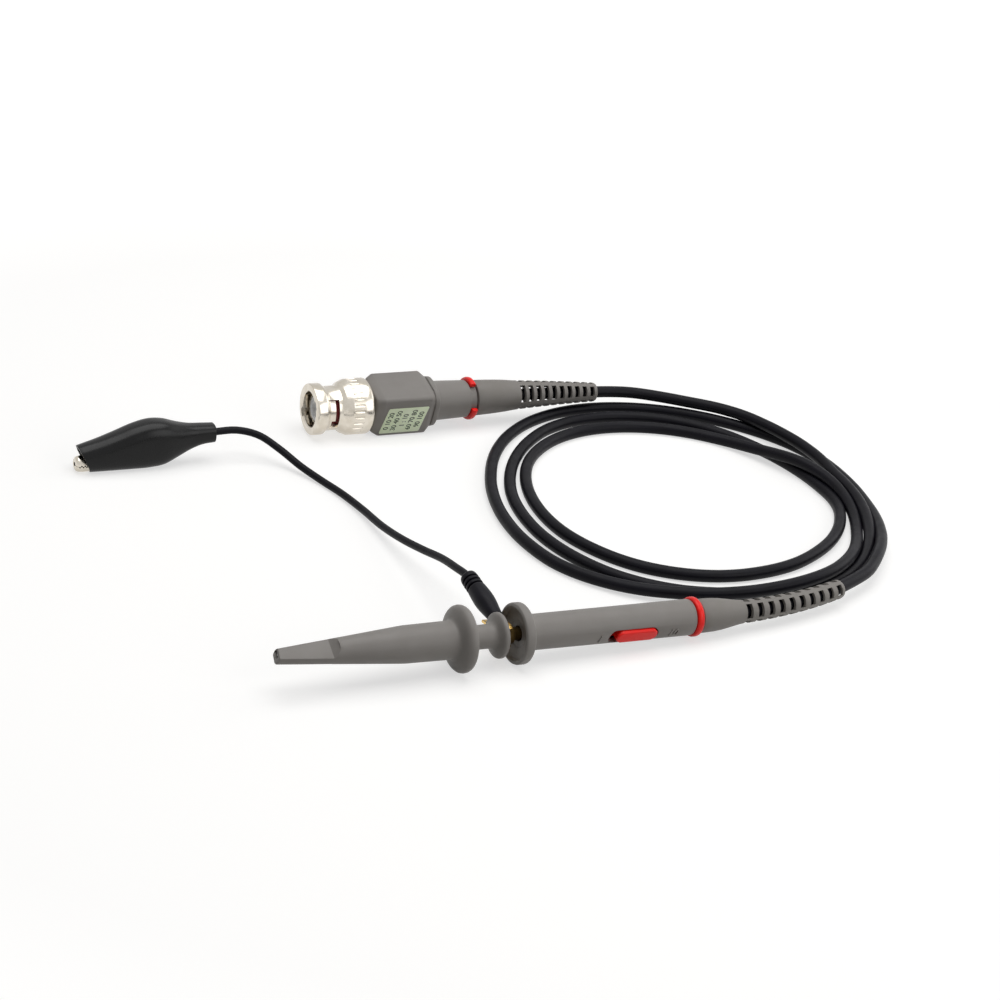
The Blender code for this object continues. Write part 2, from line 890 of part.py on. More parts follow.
def make_attenuator():
    board = box(
        "attenuator_board",
        (0, -board_width / 2, board_top - board_thickness),
        (board_rear - board_front, board_width / 2, board_top),
    )
    board.data.transform(along_switch(board_front))
    place(board, board_green, hand_axis, switch_turn)
    rise = board_top + gap + resistor_radius
    length = resistor_length
    bulge = resistor_radius
    profile = [
        (0, 0),
        (0, bulge - 0.2),
        (0.3, bulge),
        (1.2, bulge),
        (1.4, bulge - 0.15),
        (length - 1.4, bulge - 0.15),
        (length - 1.2, bulge),
        (length - 0.3, bulge),
        (length, bulge - 0.2),
        (length, 0),
    ]
    resistor = as_mesh(turned("attenuator_resistor", profile, small_steps))
    resistor.data.transform(Matrix.Translation((0, -rise * MM, resistor_front * MM)))
    place(resistor, ceramic, hand_axis, switch_turn)
    long, wide, tall = capacitor_size
    capacitor = box(
        "attenuator_capacitor",
        (0, -wide / 2, board_top + gap),
        (long, wide / 2, board_top + gap + tall),
    )
    capacitor.data.transform(along_switch(capacitor_front))
    place(capacitor, ceramic, hand_axis, switch_turn)


def make_colour_ring():
    front = body_rear - ring_seat_length + 0.15
    rear = front + ring_width
    inner = ring_seat_radius + gap
    middle = (front + rear) / 2
    profile = [
        (front, inner),
        (front, ring_radius - 0.45),
        (front + 0.25, ring_radius - 0.12),
        (middle, ring_radius),
        (rear - 0.25, ring_radius - 0.12),
        (rear, ring_radius - 0.45),
        (rear, inner),
    ]
    return place(turned("hand_colour_ring", profile, fine_steps), red_plastic, hand_axis)


# ---------------------------------------------------------------- strain reliefs


def relief_windows(name, start, pitch, half_heights, width, radii):
    """Through windows on the two sides, and a shallow notch above and below each of them."""
    tools = []
    reach = 3 * relief_bore
    first_half, last_half = half_heights
    first_radius, last_radius = radii
    for index in range(window_count):
        share = index / (window_count - 1)
        half = first_half + share * (last_half - first_half)
        station = start + index * pitch
        low, high = station - width / 2, station + width / 2
        tools.append(box("window", (-half, -reach, low), (half, reach, high)))
        radius = first_radius + share * (last_radius - first_radius)
        floor = radius - min(notch_depth, notch_share * (radius - relief_bore))
        tools.append(box("notch", (floor, -reach, low), (reach, reach, high)))
        tools.append(box("notch", (-reach, -reach, low), (-floor, reach, high)))
    return joined_tools(name, tools)


def straight_run(first, last, count):
    """Stations and radii on a straight line, so that a bent piece has rings to bend at."""
    points = []
    for index in range(count + 1):
        share = index / count
        points.append(tuple(a + share * (b - a) for a, b in zip(first, last)))
    return points


def make_hand_relief():
    front = hand_relief_front
    neck = hand_windows_start - 2.2
    rear = hand_relief_rear
    profile = [
        (front, hand_relief_radius - 0.25),
        (front + 0.25, hand_relief_radius),
        (front + 4.6, hand_relief_radius - 0.08),
        (front + 8.4, hand_relief_radius - 0.55),
        (neck, hand_relief_mid_radius + 0.12),
    ]
    taper_end = (rear - 0.8, hand_relief_end_radius)
    profile += straight_run((neck + 1.2, hand_relief_mid_radius), taper_end, window_count)
    profile += [(rear, hand_relief_end_radius - 0.25)]
    profile += straight_run((rear, relief_bore), (hand_bend_start, relief_bore), window_count)
    profile += [(front, relief_bore)]
    relief = turned("hand_strain_relief", profile, relief_steps)
    relief = place(relief, grey_pvc, hand_axis, window_turn)
    windows = relief_windows(
        "hand_windows_cutter",
        hand_windows_start,
        hand_window_pitch,
        (1.75, 1.3),
        1.7,
        (hand_relief_mid_radius, hand_relief_end_radius),
    )
    cut(relief, windows)
    return bent(relief, hand_bend_start, hand_relief_rear, hand_bend, hand_bend_rise)


def hand_path(station):
    point = bend_along((0, 0, station), hand_bend_start, hand_relief_rear, hand_bend, hand_bend_rise)
    return on_axis(hand_axis, point)


def make_ferrule(name, front, length, axis):
    inner = cable_radius + gap
    profile = ring_profile(front, front + length, inner, ferrule_radius, 0.1)
    return place(turned(name, profile, small_steps), brass, axis)


def make_box_relief():
    front = box_relief_front
    neck = box_windows_start - 1.6
    rear = box_relief_rear
    profile = [
        (front, box_relief_radius - 0.25),
        (front + 0.25, box_relief_radius),
        (front + 4.5, box_relief_radius - 0.15),
        (front + 10.0, box_relief_radius - 0.5),
    ]
    taper_end = (rear - 0.7, box_relief_end_radius)
    profile += straight_run((neck, box_relief_mid_radius), taper_end, 4)
    profile += [(rear, box_relief_end_radius - 0.2)]
    profile += straight_run((rear, relief_bore), (box_bend_start, relief_bore), 4)
    profile += [(front, relief_bore)]
    relief = turned("box_strain_relief", profile, relief_steps)
    relief = place(relief, grey_pvc, plug_axis, window_turn)
    windows = relief_windows(
        "box_windows_cutter",
        box_windows_start,
        box_window_pitch,
        (2.4, 1.35),
        1.5,
        (box_relief_mid_radius, box_relief_end_radius),
    )
    cut(relief, windows)
    return bent(relief, box_bend_start, box_relief_rear, box_bend, -90)


def plug_path(station):
    point = bend_along((0, 0, station), box_bend_start, box_relief_rear, box_bend, -90)
    return on_axis(plug_axis, point)


# ---------------------------------------------------------------- cable


def around_coil(angle, radius, height):
    turn = math.radians(angle)
    return (
        coil_centre[0] + radius * math.cos(turn),
        coil_centre[1] + radius * math.sin(turn),
        height,
    )


def make_cable():
    spacing = 2.6 * cable_radius * 2
    inside = (hand_cable_start, 50, 60, 69, 78, 88, hand_relief_rear)
    front = [hand_path(station) for station in inside]
    front += [around_coil(-73.5, 60.7, 4.3), around_coil(-66, 59.6, 4.35)]
    place(tube("cable_front", smooth_path(front, spacing), cable_radius), black_pvc)

    inside = (box_cable_start, 48, 58, 68, 78, box_relief_rear)
    rear = [plug_path(station) for station in inside]
    rear += [
        around_coil(77, 61.2, 6.2),
        around_coil(68, 63.2, 4.9),
        around_coil(57, 64.2, 3.5),
        around_coil(46, 63.6, 2.3),
        around_coil(36, 62.2, 1.7),
        around_coil(28, 60.6, 1.6),
    ]
    place(tube("cable_rear", smooth_path(rear, spacing), cable_radius), black_pvc)

    middle = (coil_inner_radius + coil_outer_radius) / 2
    crown = coil_crown / 2
    profile = [
        (0, coil_inner_radius + 0.9),
        (0, coil_outer_radius - 0.9),
        (0.9, coil_outer_radius),
        (coil_edge_height - 0.6, coil_outer_radius),
        (coil_edge_height, coil_outer_radius - 0.6),
        (coil_height, middle + crown),
        (coil_height, middle - crown),
        (coil_edge_height, coil_inner_radius + 0.6),
        (coil_edge_height - 0.6, coil_inner_radius),
        (0.9, coil_inner_radius),
    ]
    coil = turned("cable_coil", profile, 48)
    coil.location = (coil_centre[0] * MM, coil_centre[1] * MM, 0)
    place(coil, black_pvc)


# ---------------------------------------------------------------- plug


def make_coupling():
    neck = coupling_neck_radius
    profile = [
        (0, coupling_flange_radius - 0.4),
        (0.4, coupling_flange_radius),
        (coupling_flange - 0.3, coupling_flange_radius),
        (coupling_flange + 0.8, neck),
        (coupling_neck_end, neck),
        (coupling_neck_end + 0.9, coupling_shoulder_radius - 0.2),
        (coupling_neck_end + 2.4, coupling_shoulder_radius),
        (coupling_grip_front - 0.5, coupling_shoulder_radius - 0.35),
        (coupling_grip_front, coupling_shoulder_radius - 0.35),
        (coupling_grip_front + 0.2, plug_height),
        (coupling_grip_rear, plug_height),
        (coupling_rear - 0.3, coupling_shoulder_radius),
        (coupling_rear, coupling_shoulder_radius - 0.5),
        (coupling_rear, coupling_rear_bore),
        (coupling_chamber_rear, coupling_rear_bore),
        (coupling_chamber_rear, coupling_chamber),
        (coupling_chamber_front, coupling_chamber),
        (coupling_chamber_front, coupling_bore),
        (0, coupling_bore),
    ]
    coupling = place(turned("bnc_coupling", profile, fine_steps), nickel, plug_axis)
    half = bayonet_slot_width / 2
    low, high = slot_station - half, slot_station + half
    reach = coupling_neck_radius + 0.8
    inner = coupling_bore - 0.8
    channel_half = math.degrees(channel_width / 2 / channel_radius)
    tools = []
    for opposite in (0, 180):
        slot = (near_side(bayonet_top) + opposite, near_side(bayonet_lock) + opposite)
        tools.append(sector("slot", inner, reach, *slot, low, high))
        lock = (near_side(bayonet_lock + 5.5) + opposite, near_side(bayonet_lock - 9) + opposite)
        tools.append(sector("lock", inner, reach, *lock, low - 0.9, high + 0.05))
        middle = near_side(channel_angle) + opposite
        ends = (middle + channel_half, middle - channel_half)
        tools.append(sector("channel", inner, channel_radius, *ends, -1, high - 0.05))
    for index, tool in enumerate(tools):
        tool.name = f"bayonet_cutter_{index}"
        cut(coupling, tool)
    grooves = []
    for index in range(rib_count):
        groove = box(
            "groove",
            (plug_height - rib_depth, -0.17, coupling_grip_front + 0.7),
            (plug_height + 1, 0.17, coupling_grip_rear - 0.5),
        )
        turn = 360 * (index + 0.5) / rib_count
        groove.data.transform(Matrix.Rotation(math.radians(turn), 4, "Z"))
        grooves.append(groove)
    cut(coupling, joined_tools("rib_cutter", grooves))
    return coupling


def make_plug_body():
    tail = shell_tail_radius
    bore = insulator_radius + 0.1
    seat = insulator_rear + gap
    profile = [
        (shoulder_front, shoulder_radius),
        (shoulder_rear, shoulder_radius),
        (shoulder_rear, journal_radius),
        (coupling_rear + gap, journal_radius),
        (coupling_rear + gap, tail),
        (shell_rear, tail),
        (shell_rear, tail - 0.9),
        (seat, tail - 0.9),
        (seat, bore),
        (shoulder_front, bore),
    ]
    place(turned("bnc_shell", profile, mid_steps), nickel, plug_axis)

    inner = contact_radius - contact_wall
    rear = shoulder_front - gap
    profile = [
        (contact_front, contact_radius - 0.15),
        (contact_front + 0.25, contact_radius),
        (rear, contact_radius),
        (rear, inner),
        (contact_front, inner),
    ]
    sleeve = place(turned("bnc_contact_sleeve", profile, mid_steps), nickel, plug_axis)
    slots = []
    for index in range(contact_slots):
        slot = box("slot", (inner - 0.6, -0.2, contact_front - 1), (contact_radius + 1, 0.2, rear - 2.2))
        turn = 360 * (index + 0.5) / contact_slots
        slot.data.transform(Matrix.Rotation(math.radians(turn), 4, "Z"))
        slots.append(slot)
    cut(sleeve, joined_tools("contact_slot_cutter", slots))

    cup = insulator_front + insulator_cup
    profile = [
        (insulator_front, insulator_radius),
        (insulator_rear, insulator_radius),
        (insulator_rear, pin_radius + gap),
        (cup, pin_radius + gap),
        (cup, insulator_cup_radius),
        (insulator_front, insulator_cup_radius),
    ]
    place(turned("bnc_insulator", profile, mid_steps), white_ptfe, plug_axis)

    profile = [
        (pin_front, 0),
        (pin_front, 0.3),
        (pin_front + 0.5, pin_radius),
        (pin_rear, pin_radius),
        (pin_rear, 0),
    ]
    place(turned("bnc_pin", profile, small_steps), brass, plug_axis)

    inner = contact_radius + gap
    profile = ring_profile(gasket_front, shoulder_front - gap, inner, gasket_radius, 0.15)
    place(turned("bnc_gasket", profile, mid_steps), gasket_rubber, plug_axis)

    inner = journal_radius + gap
    outer = shoulder_radius
    mesh = bpy.data.meshes.new("bnc_washer")
    sheet = bmesh.new()
    rows = []
    count = 24
    middle = (shoulder_rear + coupling_chamber_rear) / 2
    wave = (coupling_chamber_rear - shoulder_rear) / 2 - gap - 0.15
    for index in range(count):
        angle = 2 * math.pi * index / count
        height = middle + wave * math.cos(3 * angle)
        row = []
        for radius in (inner, outer):
            point = Vector((radius * math.cos(angle), radius * math.sin(angle), height))
            row.append(sheet.verts.new(point * MM))
        rows.append(row)
    for first, second in zip(rows, rows[1:] + rows[:1]):
        sheet.faces.new((first[0], first[1], second[1], second[0]))
    bmesh.ops.recalc_face_normals(sheet, faces=sheet.faces)
    sheet.to_mesh(mesh)
    sheet.free()
    washer = bpy.data.objects.new("bnc_washer", mesh)
    thicken = washer.modifiers.new("Sheet", "SOLIDIFY")
    thicken.thickness = 0.25 * MM
    thicken.offset = 0
    place(washer, spring_steel, plug_axis)


# ---------------------------------------------------------------- compensation box


def make_box():
    half = box_side / 2
    nose = half - 1.2
    collar = half - 0.2
    rings = [
        rounded_square(nose, box_corner + 0.3, box_front),
        rounded_square(nose + 0.45, box_corner + 0.2, box_front + 0.35),
        rounded_square(half, box_corner, box_square_front),
        rounded_square(half, box_corner, box_square_rear),
        rounded_square(half - 0.85, box_corner + 1.5, box_rear),
        rounded_square(collar - 0.2, box_corner + 2.6, box_rear + 0.1),
        rounded_square(collar - 0.2, box_corner + 2.9, box_collar_rear - 0.2),
        rounded_square(box_neck_radius, box_neck_radius - 0.01, box_collar_rear),
        rounded_square(box_neck_end_radius, box_neck_end_radius - 0.01, box_neck_rear),
        rounded_square(box_seat_radius, box_seat_radius - 0.01, box_neck_rear + 0.01),
        rounded_square(box_seat_radius, box_seat_radius - 0.01, box_seat_rear),
    ]
    housing = place(loft("box_housing", rings), grey_abs, plug_axis, box_turn)
    inner = half - box_wall
    hollow = [
        rounded_square(inner - 0.5, box_corner, box_square_front - 0.6),
        rounded_square(inner, box_corner, box_square_front + 0.4),
        rounded_square(inner, box_corner, box_square_rear - 0.6),
        rounded_square(inner - 1.4, box_corner + 1.2, box_square_rear + 1.0),
    ]
    cut(housing, loft("box_hollow_cutter", hollow))
    mouth = shell_tail_radius + gap
    profile = [(box_front - 1, 0), (box_front - 1, mouth), (box_square_front + 0.2, mouth)]
    profile.append((box_square_front + 0.2, 0))
    cut(housing, turned("box_mouth_cutter", profile, mid_steps))
    bore = ferrule_radius + gap
    profile = [(box_square_rear, 0), (box_square_rear, bore), (box_seat_rear + 1, bore)]
    profile.append((box_seat_rear + 1, 0))
    cut(housing, turned("box_neck_cutter", profile, mid_steps))
    hole = as_mesh(turned("trimmer_hole_cutter", [(0, 0), (0, trimmer_hole_radius),
                   (3 * half, trimmer_hole_radius), (3 * half, 0)], small_steps))
    hole.data.transform(Matrix.Rotation(math.radians(-90), 4, "X"))
    hole.data.transform(Matrix.Translation((0, 0, trimmer_station * MM)))
    cut(housing, hole)

    long, tall, slant = label_length / 2, label_height / 2, label_slant / 2
    outline = [
        (label_middle - long - slant, -tall - label_drop),
        (label_middle + long - slant, -tall - label_drop),
        (label_middle + long + slant, tall - label_drop),
        (label_middle - long + slant, tall - label_drop),
    ]
    start = half + 0.02
    label = prism("box_label", outline, start, start + label_thickness)
    label.data.transform(along_switch(0))
    place(label, label_film, plug_axis, box_turn)

    profile_inner = box_seat_radius + gap
    front = box_neck_rear + 0.15
    rear = front + ring_width
    profile = [
        (front, profile_inner),
        (front, box_ring_radius - 0.55),
        (front + 0.3, box_ring_radius - 0.12),
        ((front + rear) / 2, box_ring_radius),
        (rear - 0.3, box_ring_radius - 0.12),
        (rear, box_ring_radius - 0.55),
        (rear, profile_inner),
    ]
    ring = place(turned("box_colour_ring", profile, fine_steps), red_plastic, plug_axis)
    reach = 2 * box_ring_radius
    wide = math.tan(math.radians(box_ring_opening / 2)) * reach
    view = near_side(-window_turn)
    wedge = prism("ring_opening_cutter", [(0, 0), (reach, wide), (reach, -wide)], front - 1, rear + 1)
    wedge.data.transform(Matrix.Rotation(math.radians(view), 4, "Z"))
    cut(ring, wedge)


def make_box_inside():
    wide = comp_board_width / 2
    board = box(
        "comp_board",
        (-wide, comp_board_top - comp_board_thickness, comp_board_front),
        (wide, comp_board_top, comp_board_rear),
    )
    place(board, board_green, plug_axis, box_turn)
    low = comp_board_top + gap
    high = low + trimmer_height
    seat = screw_radius + running_gap
    profile = [
        (low, 0),
        (low, trimmer_radius),
        (high - 0.3, trimmer_radius),
        (high, trimmer_radius - 0.3),
        (high, seat),
        (high - 0.8, seat),
        (high - 0.8, 0),
    ]
    body = as_mesh(turned("trimmer_body", profile, mid_steps))
    body.data.transform(Matrix.Rotation(math.radians(-90), 4, "X"))
    body.data.transform(Matrix.Translation((0, 0, trimmer_station * MM)))
    place(body, white_ptfe, plug_axis, box_turn)

    seat_low = high - 0.8 + running_gap
    profile = [(seat_low, 0), (seat_low, screw_radius), (screw_top - 0.2, screw_radius)]
    profile += [(screw_top, screw_radius - 0.2), (screw_top, 0)]
    screw = as_mesh(turned("trimmer_screw", profile, small_steps))
    slot = box("screw_slot", (-0.2, -3, screw_top - 0.7), (0.2, 3, screw_top + 1))
    slot.data.transform(Matrix.Rotation(math.radians(35), 4, "Z"))
    for piece in (screw, slot):
        piece.data.transform(Matrix.Rotation(math.radians(-90), 4, "X"))
    holder = make_empty("trimmer_axis", (0, 0, 0), (0, 0, box_turn))
    holder.parent = plug_axis
    holder.location = (0, 0, trimmer_station * MM)
    screw.parent = holder
    screw.data.materials.append(brass)
    cut(screw, slot)


# ---------------------------------------------------------------- ground lead


def boot_axis_point(distance):
    rise = math.radians(boot_rise)
    base = on_axis(hand_axis, (0, 0, contact_station))
    return [base[0], base[1] + distance * math.cos(rise), base[2] + distance * math.sin(rise)]


def make_ground_contact():
    inner = collar_radius + gap
    outer = inner + contact_ring_wall
    low = contact_station - contact_ring_width / 2
    high = contact_station + contact_ring_width / 2
    turn = -boot_rise
    ring = turned("ground_contact", ring_profile(low, high, inner, outer), mid_steps)
    ring = place(ring, brass, hand_axis, turn)
    reach = 2 * outer
    mouth = prism("contact_mouth_cutter", [(0, 0), (reach, -reach), (-reach, -reach)], low - 1, high + 1)
    cut(ring, mouth)
    tongue = box("contact_tongue_tool", (-0.3, inner + 0.2, low + 0.3), (0.3, boot_start + 4.0, high - 0.3))
    join(ring, tongue)


def make_lead_boot():
    holder = make_empty("boot_axis", (0, 0, 0), (-90 + boot_rise, 0, 0))
    holder.location = [value * MM for value in boot_axis_point(0)]
    end = boot_start + boot_length
    profile = [
        (boot_start, 1.55),
        (boot_start + 0.3, 1.75),
        (boot_start + 2.5, 2.0),
        (boot_start + 5.5, boot_radius - 0.1),
        (boot_start + 8.0, boot_radius),
        (end - 5.2, boot_radius - 0.3),
        (end - 1.0, 1.85),
        (end, 1.6),
        (end, boot_bore),
        (boot_start, boot_bore),
    ]
    boot = place(turned("lead_boot", profile, 24), black_pvc, holder)
    grooves = []
    for index in range(3):
        station = end - 1.5 - 1.3 * index
        for side in (1, -1):
            low = (side * 1.5 - 1.0, -1.3, station - 0.3)
            high = (side * 1.5 + 1.0, 1.3, station + 0.3)
            groove = box("groove", low, high)
            groove.data.transform(Matrix.Translation((side * 1.0 * MM, 0, 0)))
            grooves.append(groove)
    cut(boot, joined_tools("boot_groove_cutter", grooves))


def make_ground_lead():
    end = boot_start + boot_length
    points = [boot_axis_point(boot_start + 5.5), boot_axis_point(end - 5), boot_axis_point(end)]
    points += [
        (3.2, 29.0, 10.4),
        (3.4, 36.2, 8.9),
        (2.8, 45.6, 6.6),
        (2.0, 55.4, 4.6),
        (1.6, 66.4, 2.8),
        (1.6, 79.0, 1.5),
        (0.3, 89.2, 1.15),
        (-2.0, 97.6, 1.2),
        (-5.0, 104.9, 2.2),
        (-8.6, 111.6, 4.5),
        (-13.0, 116.0, 6.9),
        (-18.6, 117.8, 8.1),
        (clip_tip[0] + 38.0, clip_tip[1], clip_lead_height),
        (clip_tip[0] + clip_crimp_front, clip_tip[1], clip_lead_height),
    ]
    lead = tube("ground_lead", smooth_path(points, 3.2 * lead_radius * 2), lead_radius)
    place(lead, black_pvc)


# ---------------------------------------------------------------- crocodile clip


def teeth(start, height, direction):
    """A row of teeth along +X whose tips point in direction (1 up, -1 down); rear ones are lower."""
    points = []
    for index in range(tooth_count):
        low = start + index * tooth_pitch
        depth = tooth_height - 0.01 * index**2
        points.append((low, height))
        points.append((low + 0.5 * tooth_pitch, height - direction * depth))
    points.append((start + tooth_count * tooth_pitch, height))
    return points


def cross_hole(name, half):
    """A cutter for the pin's hole, along Y through the pivot."""
    radius = clip_pin_radius + running_gap
    profile = [(-half, 0), (-half, radius), (half, radius), (half, 0)]
    hole = as_mesh(turned(name, profile, small_steps))
    hole.data.transform(Matrix.Rotation(math.radians(90), 4, "X"))
    hole.data.transform(Matrix.Translation((clip_pivot[0] * MM, 0, clip_pivot[1] * MM)))
    return hole


def make_lower_jaw():
    pivot_x, pivot_z = clip_pivot
    base = 1.5
    outline = [(0.0, base + 0.5), (0.5, base), (pivot_x + 1.5, base), (pivot_x + 4.5, 2.4)]
    outline += [(29.8, 5.3), (32.8, 5.9), (32.8, 6.3), (29.5, 5.75), (pivot_x + 4.3, 2.95)]
    outline += [(pivot_x + 2.4, 5.4), (pivot_x + 1.4, pivot_z + 1.4), (pivot_x - 1.4, pivot_z + 1.4)]
    outline += [(pivot_x - 3.6, 4.6), (11.0, 3.4)]
    outline += list(reversed(teeth(0.5, 3.4, 1)))
    outline += [(0.0, 3.0)]
    jaw = side_prism("clip_lower_jaw", outline, lower_jaw_half)
    jaw = place(jaw, nickel, clip_frame)
    inner = lower_jaw_half - lower_jaw_sheet
    trough = [(0.45, base + lower_jaw_sheet), (pivot_x + 1.4, base + lower_jaw_sheet)]
    trough += [(pivot_x + 4.4, 2.8), (pivot_x + 4.4, 12), (0.45, 12)]
    cut(jaw, side_prism("lower_trough_cutter", trough, inner))
    sides = []
    for side in (1, -1):
        near, far = sorted((side * lower_jaw_tail_half, side * 2 * lower_jaw_half))
        sides.append(box("side", (pivot_x + 3.2, near, 0), (40, far, 12)))
    cut(jaw, joined_tools("jaw_tail_cutter", sides))
    cut(jaw, cross_hole("lower_pin_cutter", 2 * lower_jaw_half))


def make_upper_jaw():
    pivot_x, pivot_z = clip_pivot
    tip_height = 5.0
    top = [(0.1, tip_height), (2.0, 5.5), (pivot_x - 4.0, 9.6), (pivot_x, 10.4)]
    top += [(pivot_x + 3.5, 10.6), (28.0, 9.9)]
    outline = list(teeth(0.6, 3.75, -1))
    outline += [(11.0, 3.9), (pivot_x - 3.5, 5.4), (pivot_x - 1.7, pivot_z - 1.5)]
    outline += [(pivot_x + 1.7, pivot_z - 1.5), (pivot_x + 3.0, 8.0), (28.0, 9.5)]
    outline += list(reversed(top))
    outline += [(0.1, 4.2)]
    jaw = side_prism("clip_upper_jaw", outline, upper_jaw_half)
    pivot = make_empty("clip_pivot_axis", (0, 0, 0), (0, 0, 0))
    pivot.parent = clip_frame
    pivot.location = (pivot_x * MM, 0, pivot_z * MM)
    jaw.data.transform(Matrix.Translation((-pivot_x * MM, 0, -pivot_z * MM)))
    jaw = place(jaw, nickel, pivot)
    inner = upper_jaw_half - upper_jaw_sheet
    trough = [(x, z - 0.45) for x, z in top[1:-1]]
    trough += [(26.5, trough[-1][1] - 0.4), (26.5, 0), (0.5, 0), (0.5, 4.4)]
    tool = side_prism("upper_trough_cutter", trough, inner)
    tool.data.transform(Matrix.Translation((-pivot_x * MM, 0, -pivot_z * MM)))
    cut(jaw, tool)
    hole = cross_hole("upper_pin_cutter", 2 * upper_jaw_half)
    hole.data.transform(Matrix.Translation((-pivot_x * MM, 0, -pivot_z * MM)))
    cut(jaw, hole)


def make_clip_small_parts():
    pivot_x, pivot_z = clip_pivot
    head = clip_pin_radius + 0.5
    thick = 0.35
    start = lower_jaw_half + gap
    profile = [
        (-start - thick, 0),
        (-start - thick, head),
        (-start, head),
        (-start, clip_pin_radius),
        (start, clip_pin_radius),
        (start, head),
        (start + thick, head),
        (start + thick, 0),
    ]
    pin = as_mesh(turned("clip_pivot_pin", profile, small_steps))
    pin.data.transform(Matrix.Rotation(math.radians(90), 4, "X"))
    pin.data.transform(Matrix.Translation((pivot_x * MM, 0, pivot_z * MM)))
    place(pin, nickel, clip_frame)

    wire = 0.17
    points = helix(clip_pin_radius + gap + wire, -0.42, 0.42, 2.0)
    spring = as_mesh(tube("clip_spring", points, wire, 1))
    spring.data.transform(Matrix.Rotation(math.radians(90), 4, "X"))
    spring.data.transform(Matrix.Translation((pivot_x * MM, 0, pivot_z * MM)))
    place(spring, spring_steel, clip_frame)

    inner = lead_radius + 0.2
    profile = ring_profile(0, clip_crimp_length, inner, inner + 0.35)
    crimp = as_mesh(turned("clip_crimp", profile, small_steps))
    crimp.data.transform(Matrix.Rotation(math.radians(90), 4, "Y"))
    shift = (clip_crimp_front + 0.4, 0, clip_lead_height)
    crimp.data.transform(Matrix.Translation([value * MM for value in shift]))
    place(crimp, nickel, clip_frame)


def boot_ring(station, low, high, half_width, count=20, power=3.0):
    """One section of the clip's boot: a softened oval between two heights."""
    middle = (low + high) / 2
    tall = (high - low) / 2
    ring = []
    for index in range(count):
        angle = 2 * math.pi * index / count
        c, s = math.cos(angle), math.sin(angle)
        y = half_width * math.copysign(abs(c) ** (2 / power), c)
        z = middle + tall * math.copysign(abs(s) ** (2 / power), s)
        ring.append((station, y, z))
    return ring


def make_clip_boot():
    sections = (
        (-2.0, 0.0, 6.3, 3.3),
        (2.0, 0.0, 7.6, 3.6),
        (6.0, 0.0, 8.7, 3.9),
        (11.0, 0.0, 10.4, 4.2),
        (16.0, 0.0, 12.2, 4.4),
        (20.5, 0.1, 13.1, 4.5),
        (24.0, 0.6, 12.8, 4.4),
        (28.0, 2.5, 11.6, 3.7),
        (31.5, 4.2, 10.9, 3.0),
        (34.5, 5.2, 10.7, 2.7),
        (38.2, 5.55, 10.5, 2.5),
    )
    rings = [boot_ring(*section) for section in sections]
    boot = loft("clip_boot", rings, closed=False)
    shape = bmesh.new()
    shape.from_mesh(boot.data)
    bmesh.ops.bisect_plane(
        shape,
        geom=list(shape.verts) + list(shape.edges) + list(shape.faces),
        plane_co=Vector((2.2, 0, 3.8)) * MM,
        plane_no=Vector((-0.91, 0, -0.42)),
        clear_outer=True,
    )
    shape.to_mesh(boot.data)
    shape.free()
    shell = boot.modifiers.new("Wall", "SOLIDIFY")
    shell.thickness = clip_boot_wall * MM
    shell.offset = -1
    shell.use_even_offset = True
    place(boot, black_boot, clip_frame)


make_hook_sleeve()
make_hook_wire()
make_hook_spring()
make_hook_carrier()
make_needle()
make_tip_insulator()
make_ground_barrel()
make_probe_body()
make_switch()
make_attenuator()
make_colour_ring()
make_hand_relief()
make_ferrule("hand_ferrule", hand_ferrule_front, hand_ferrule_length, hand_axis)
make_box_relief()
make_ferrule("box_ferrule", box_ferrule_front, box_ferrule_length, plug_axis)
make_cable()
make_coupling()
make_plug_body()
make_box()
make_box_inside()
make_ground_contact()
make_lead_boot()
make_ground_lead()
make_lower_jaw()
make_upper_jaw()
make_clip_small_parts()
make_clip_boot()
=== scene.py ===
import json
import math

import bmesh
import bpy
import numpy as np
from mathutils import Matrix, Vector


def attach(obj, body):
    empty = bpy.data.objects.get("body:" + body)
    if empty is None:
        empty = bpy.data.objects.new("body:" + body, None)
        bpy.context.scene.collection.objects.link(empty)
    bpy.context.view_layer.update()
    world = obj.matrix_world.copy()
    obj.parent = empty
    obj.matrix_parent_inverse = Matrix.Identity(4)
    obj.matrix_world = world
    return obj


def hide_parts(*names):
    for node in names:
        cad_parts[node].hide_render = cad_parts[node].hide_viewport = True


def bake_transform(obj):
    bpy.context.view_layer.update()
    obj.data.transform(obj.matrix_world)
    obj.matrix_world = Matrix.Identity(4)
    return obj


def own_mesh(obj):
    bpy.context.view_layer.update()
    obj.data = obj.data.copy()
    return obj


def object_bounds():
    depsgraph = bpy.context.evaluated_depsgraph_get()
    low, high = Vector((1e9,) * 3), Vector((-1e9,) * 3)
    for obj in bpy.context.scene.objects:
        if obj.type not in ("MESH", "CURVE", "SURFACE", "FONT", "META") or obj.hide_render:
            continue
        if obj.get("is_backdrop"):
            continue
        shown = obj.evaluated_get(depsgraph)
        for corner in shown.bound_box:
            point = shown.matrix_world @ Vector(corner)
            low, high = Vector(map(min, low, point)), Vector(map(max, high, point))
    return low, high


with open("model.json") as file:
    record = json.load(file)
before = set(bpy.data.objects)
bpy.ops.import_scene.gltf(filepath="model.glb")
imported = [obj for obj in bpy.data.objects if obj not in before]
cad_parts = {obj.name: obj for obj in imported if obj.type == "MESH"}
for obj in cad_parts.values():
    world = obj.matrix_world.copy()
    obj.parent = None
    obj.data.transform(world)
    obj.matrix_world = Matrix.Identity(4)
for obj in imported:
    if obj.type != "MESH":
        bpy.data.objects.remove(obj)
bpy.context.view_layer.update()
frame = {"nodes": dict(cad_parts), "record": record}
mm = 0.001

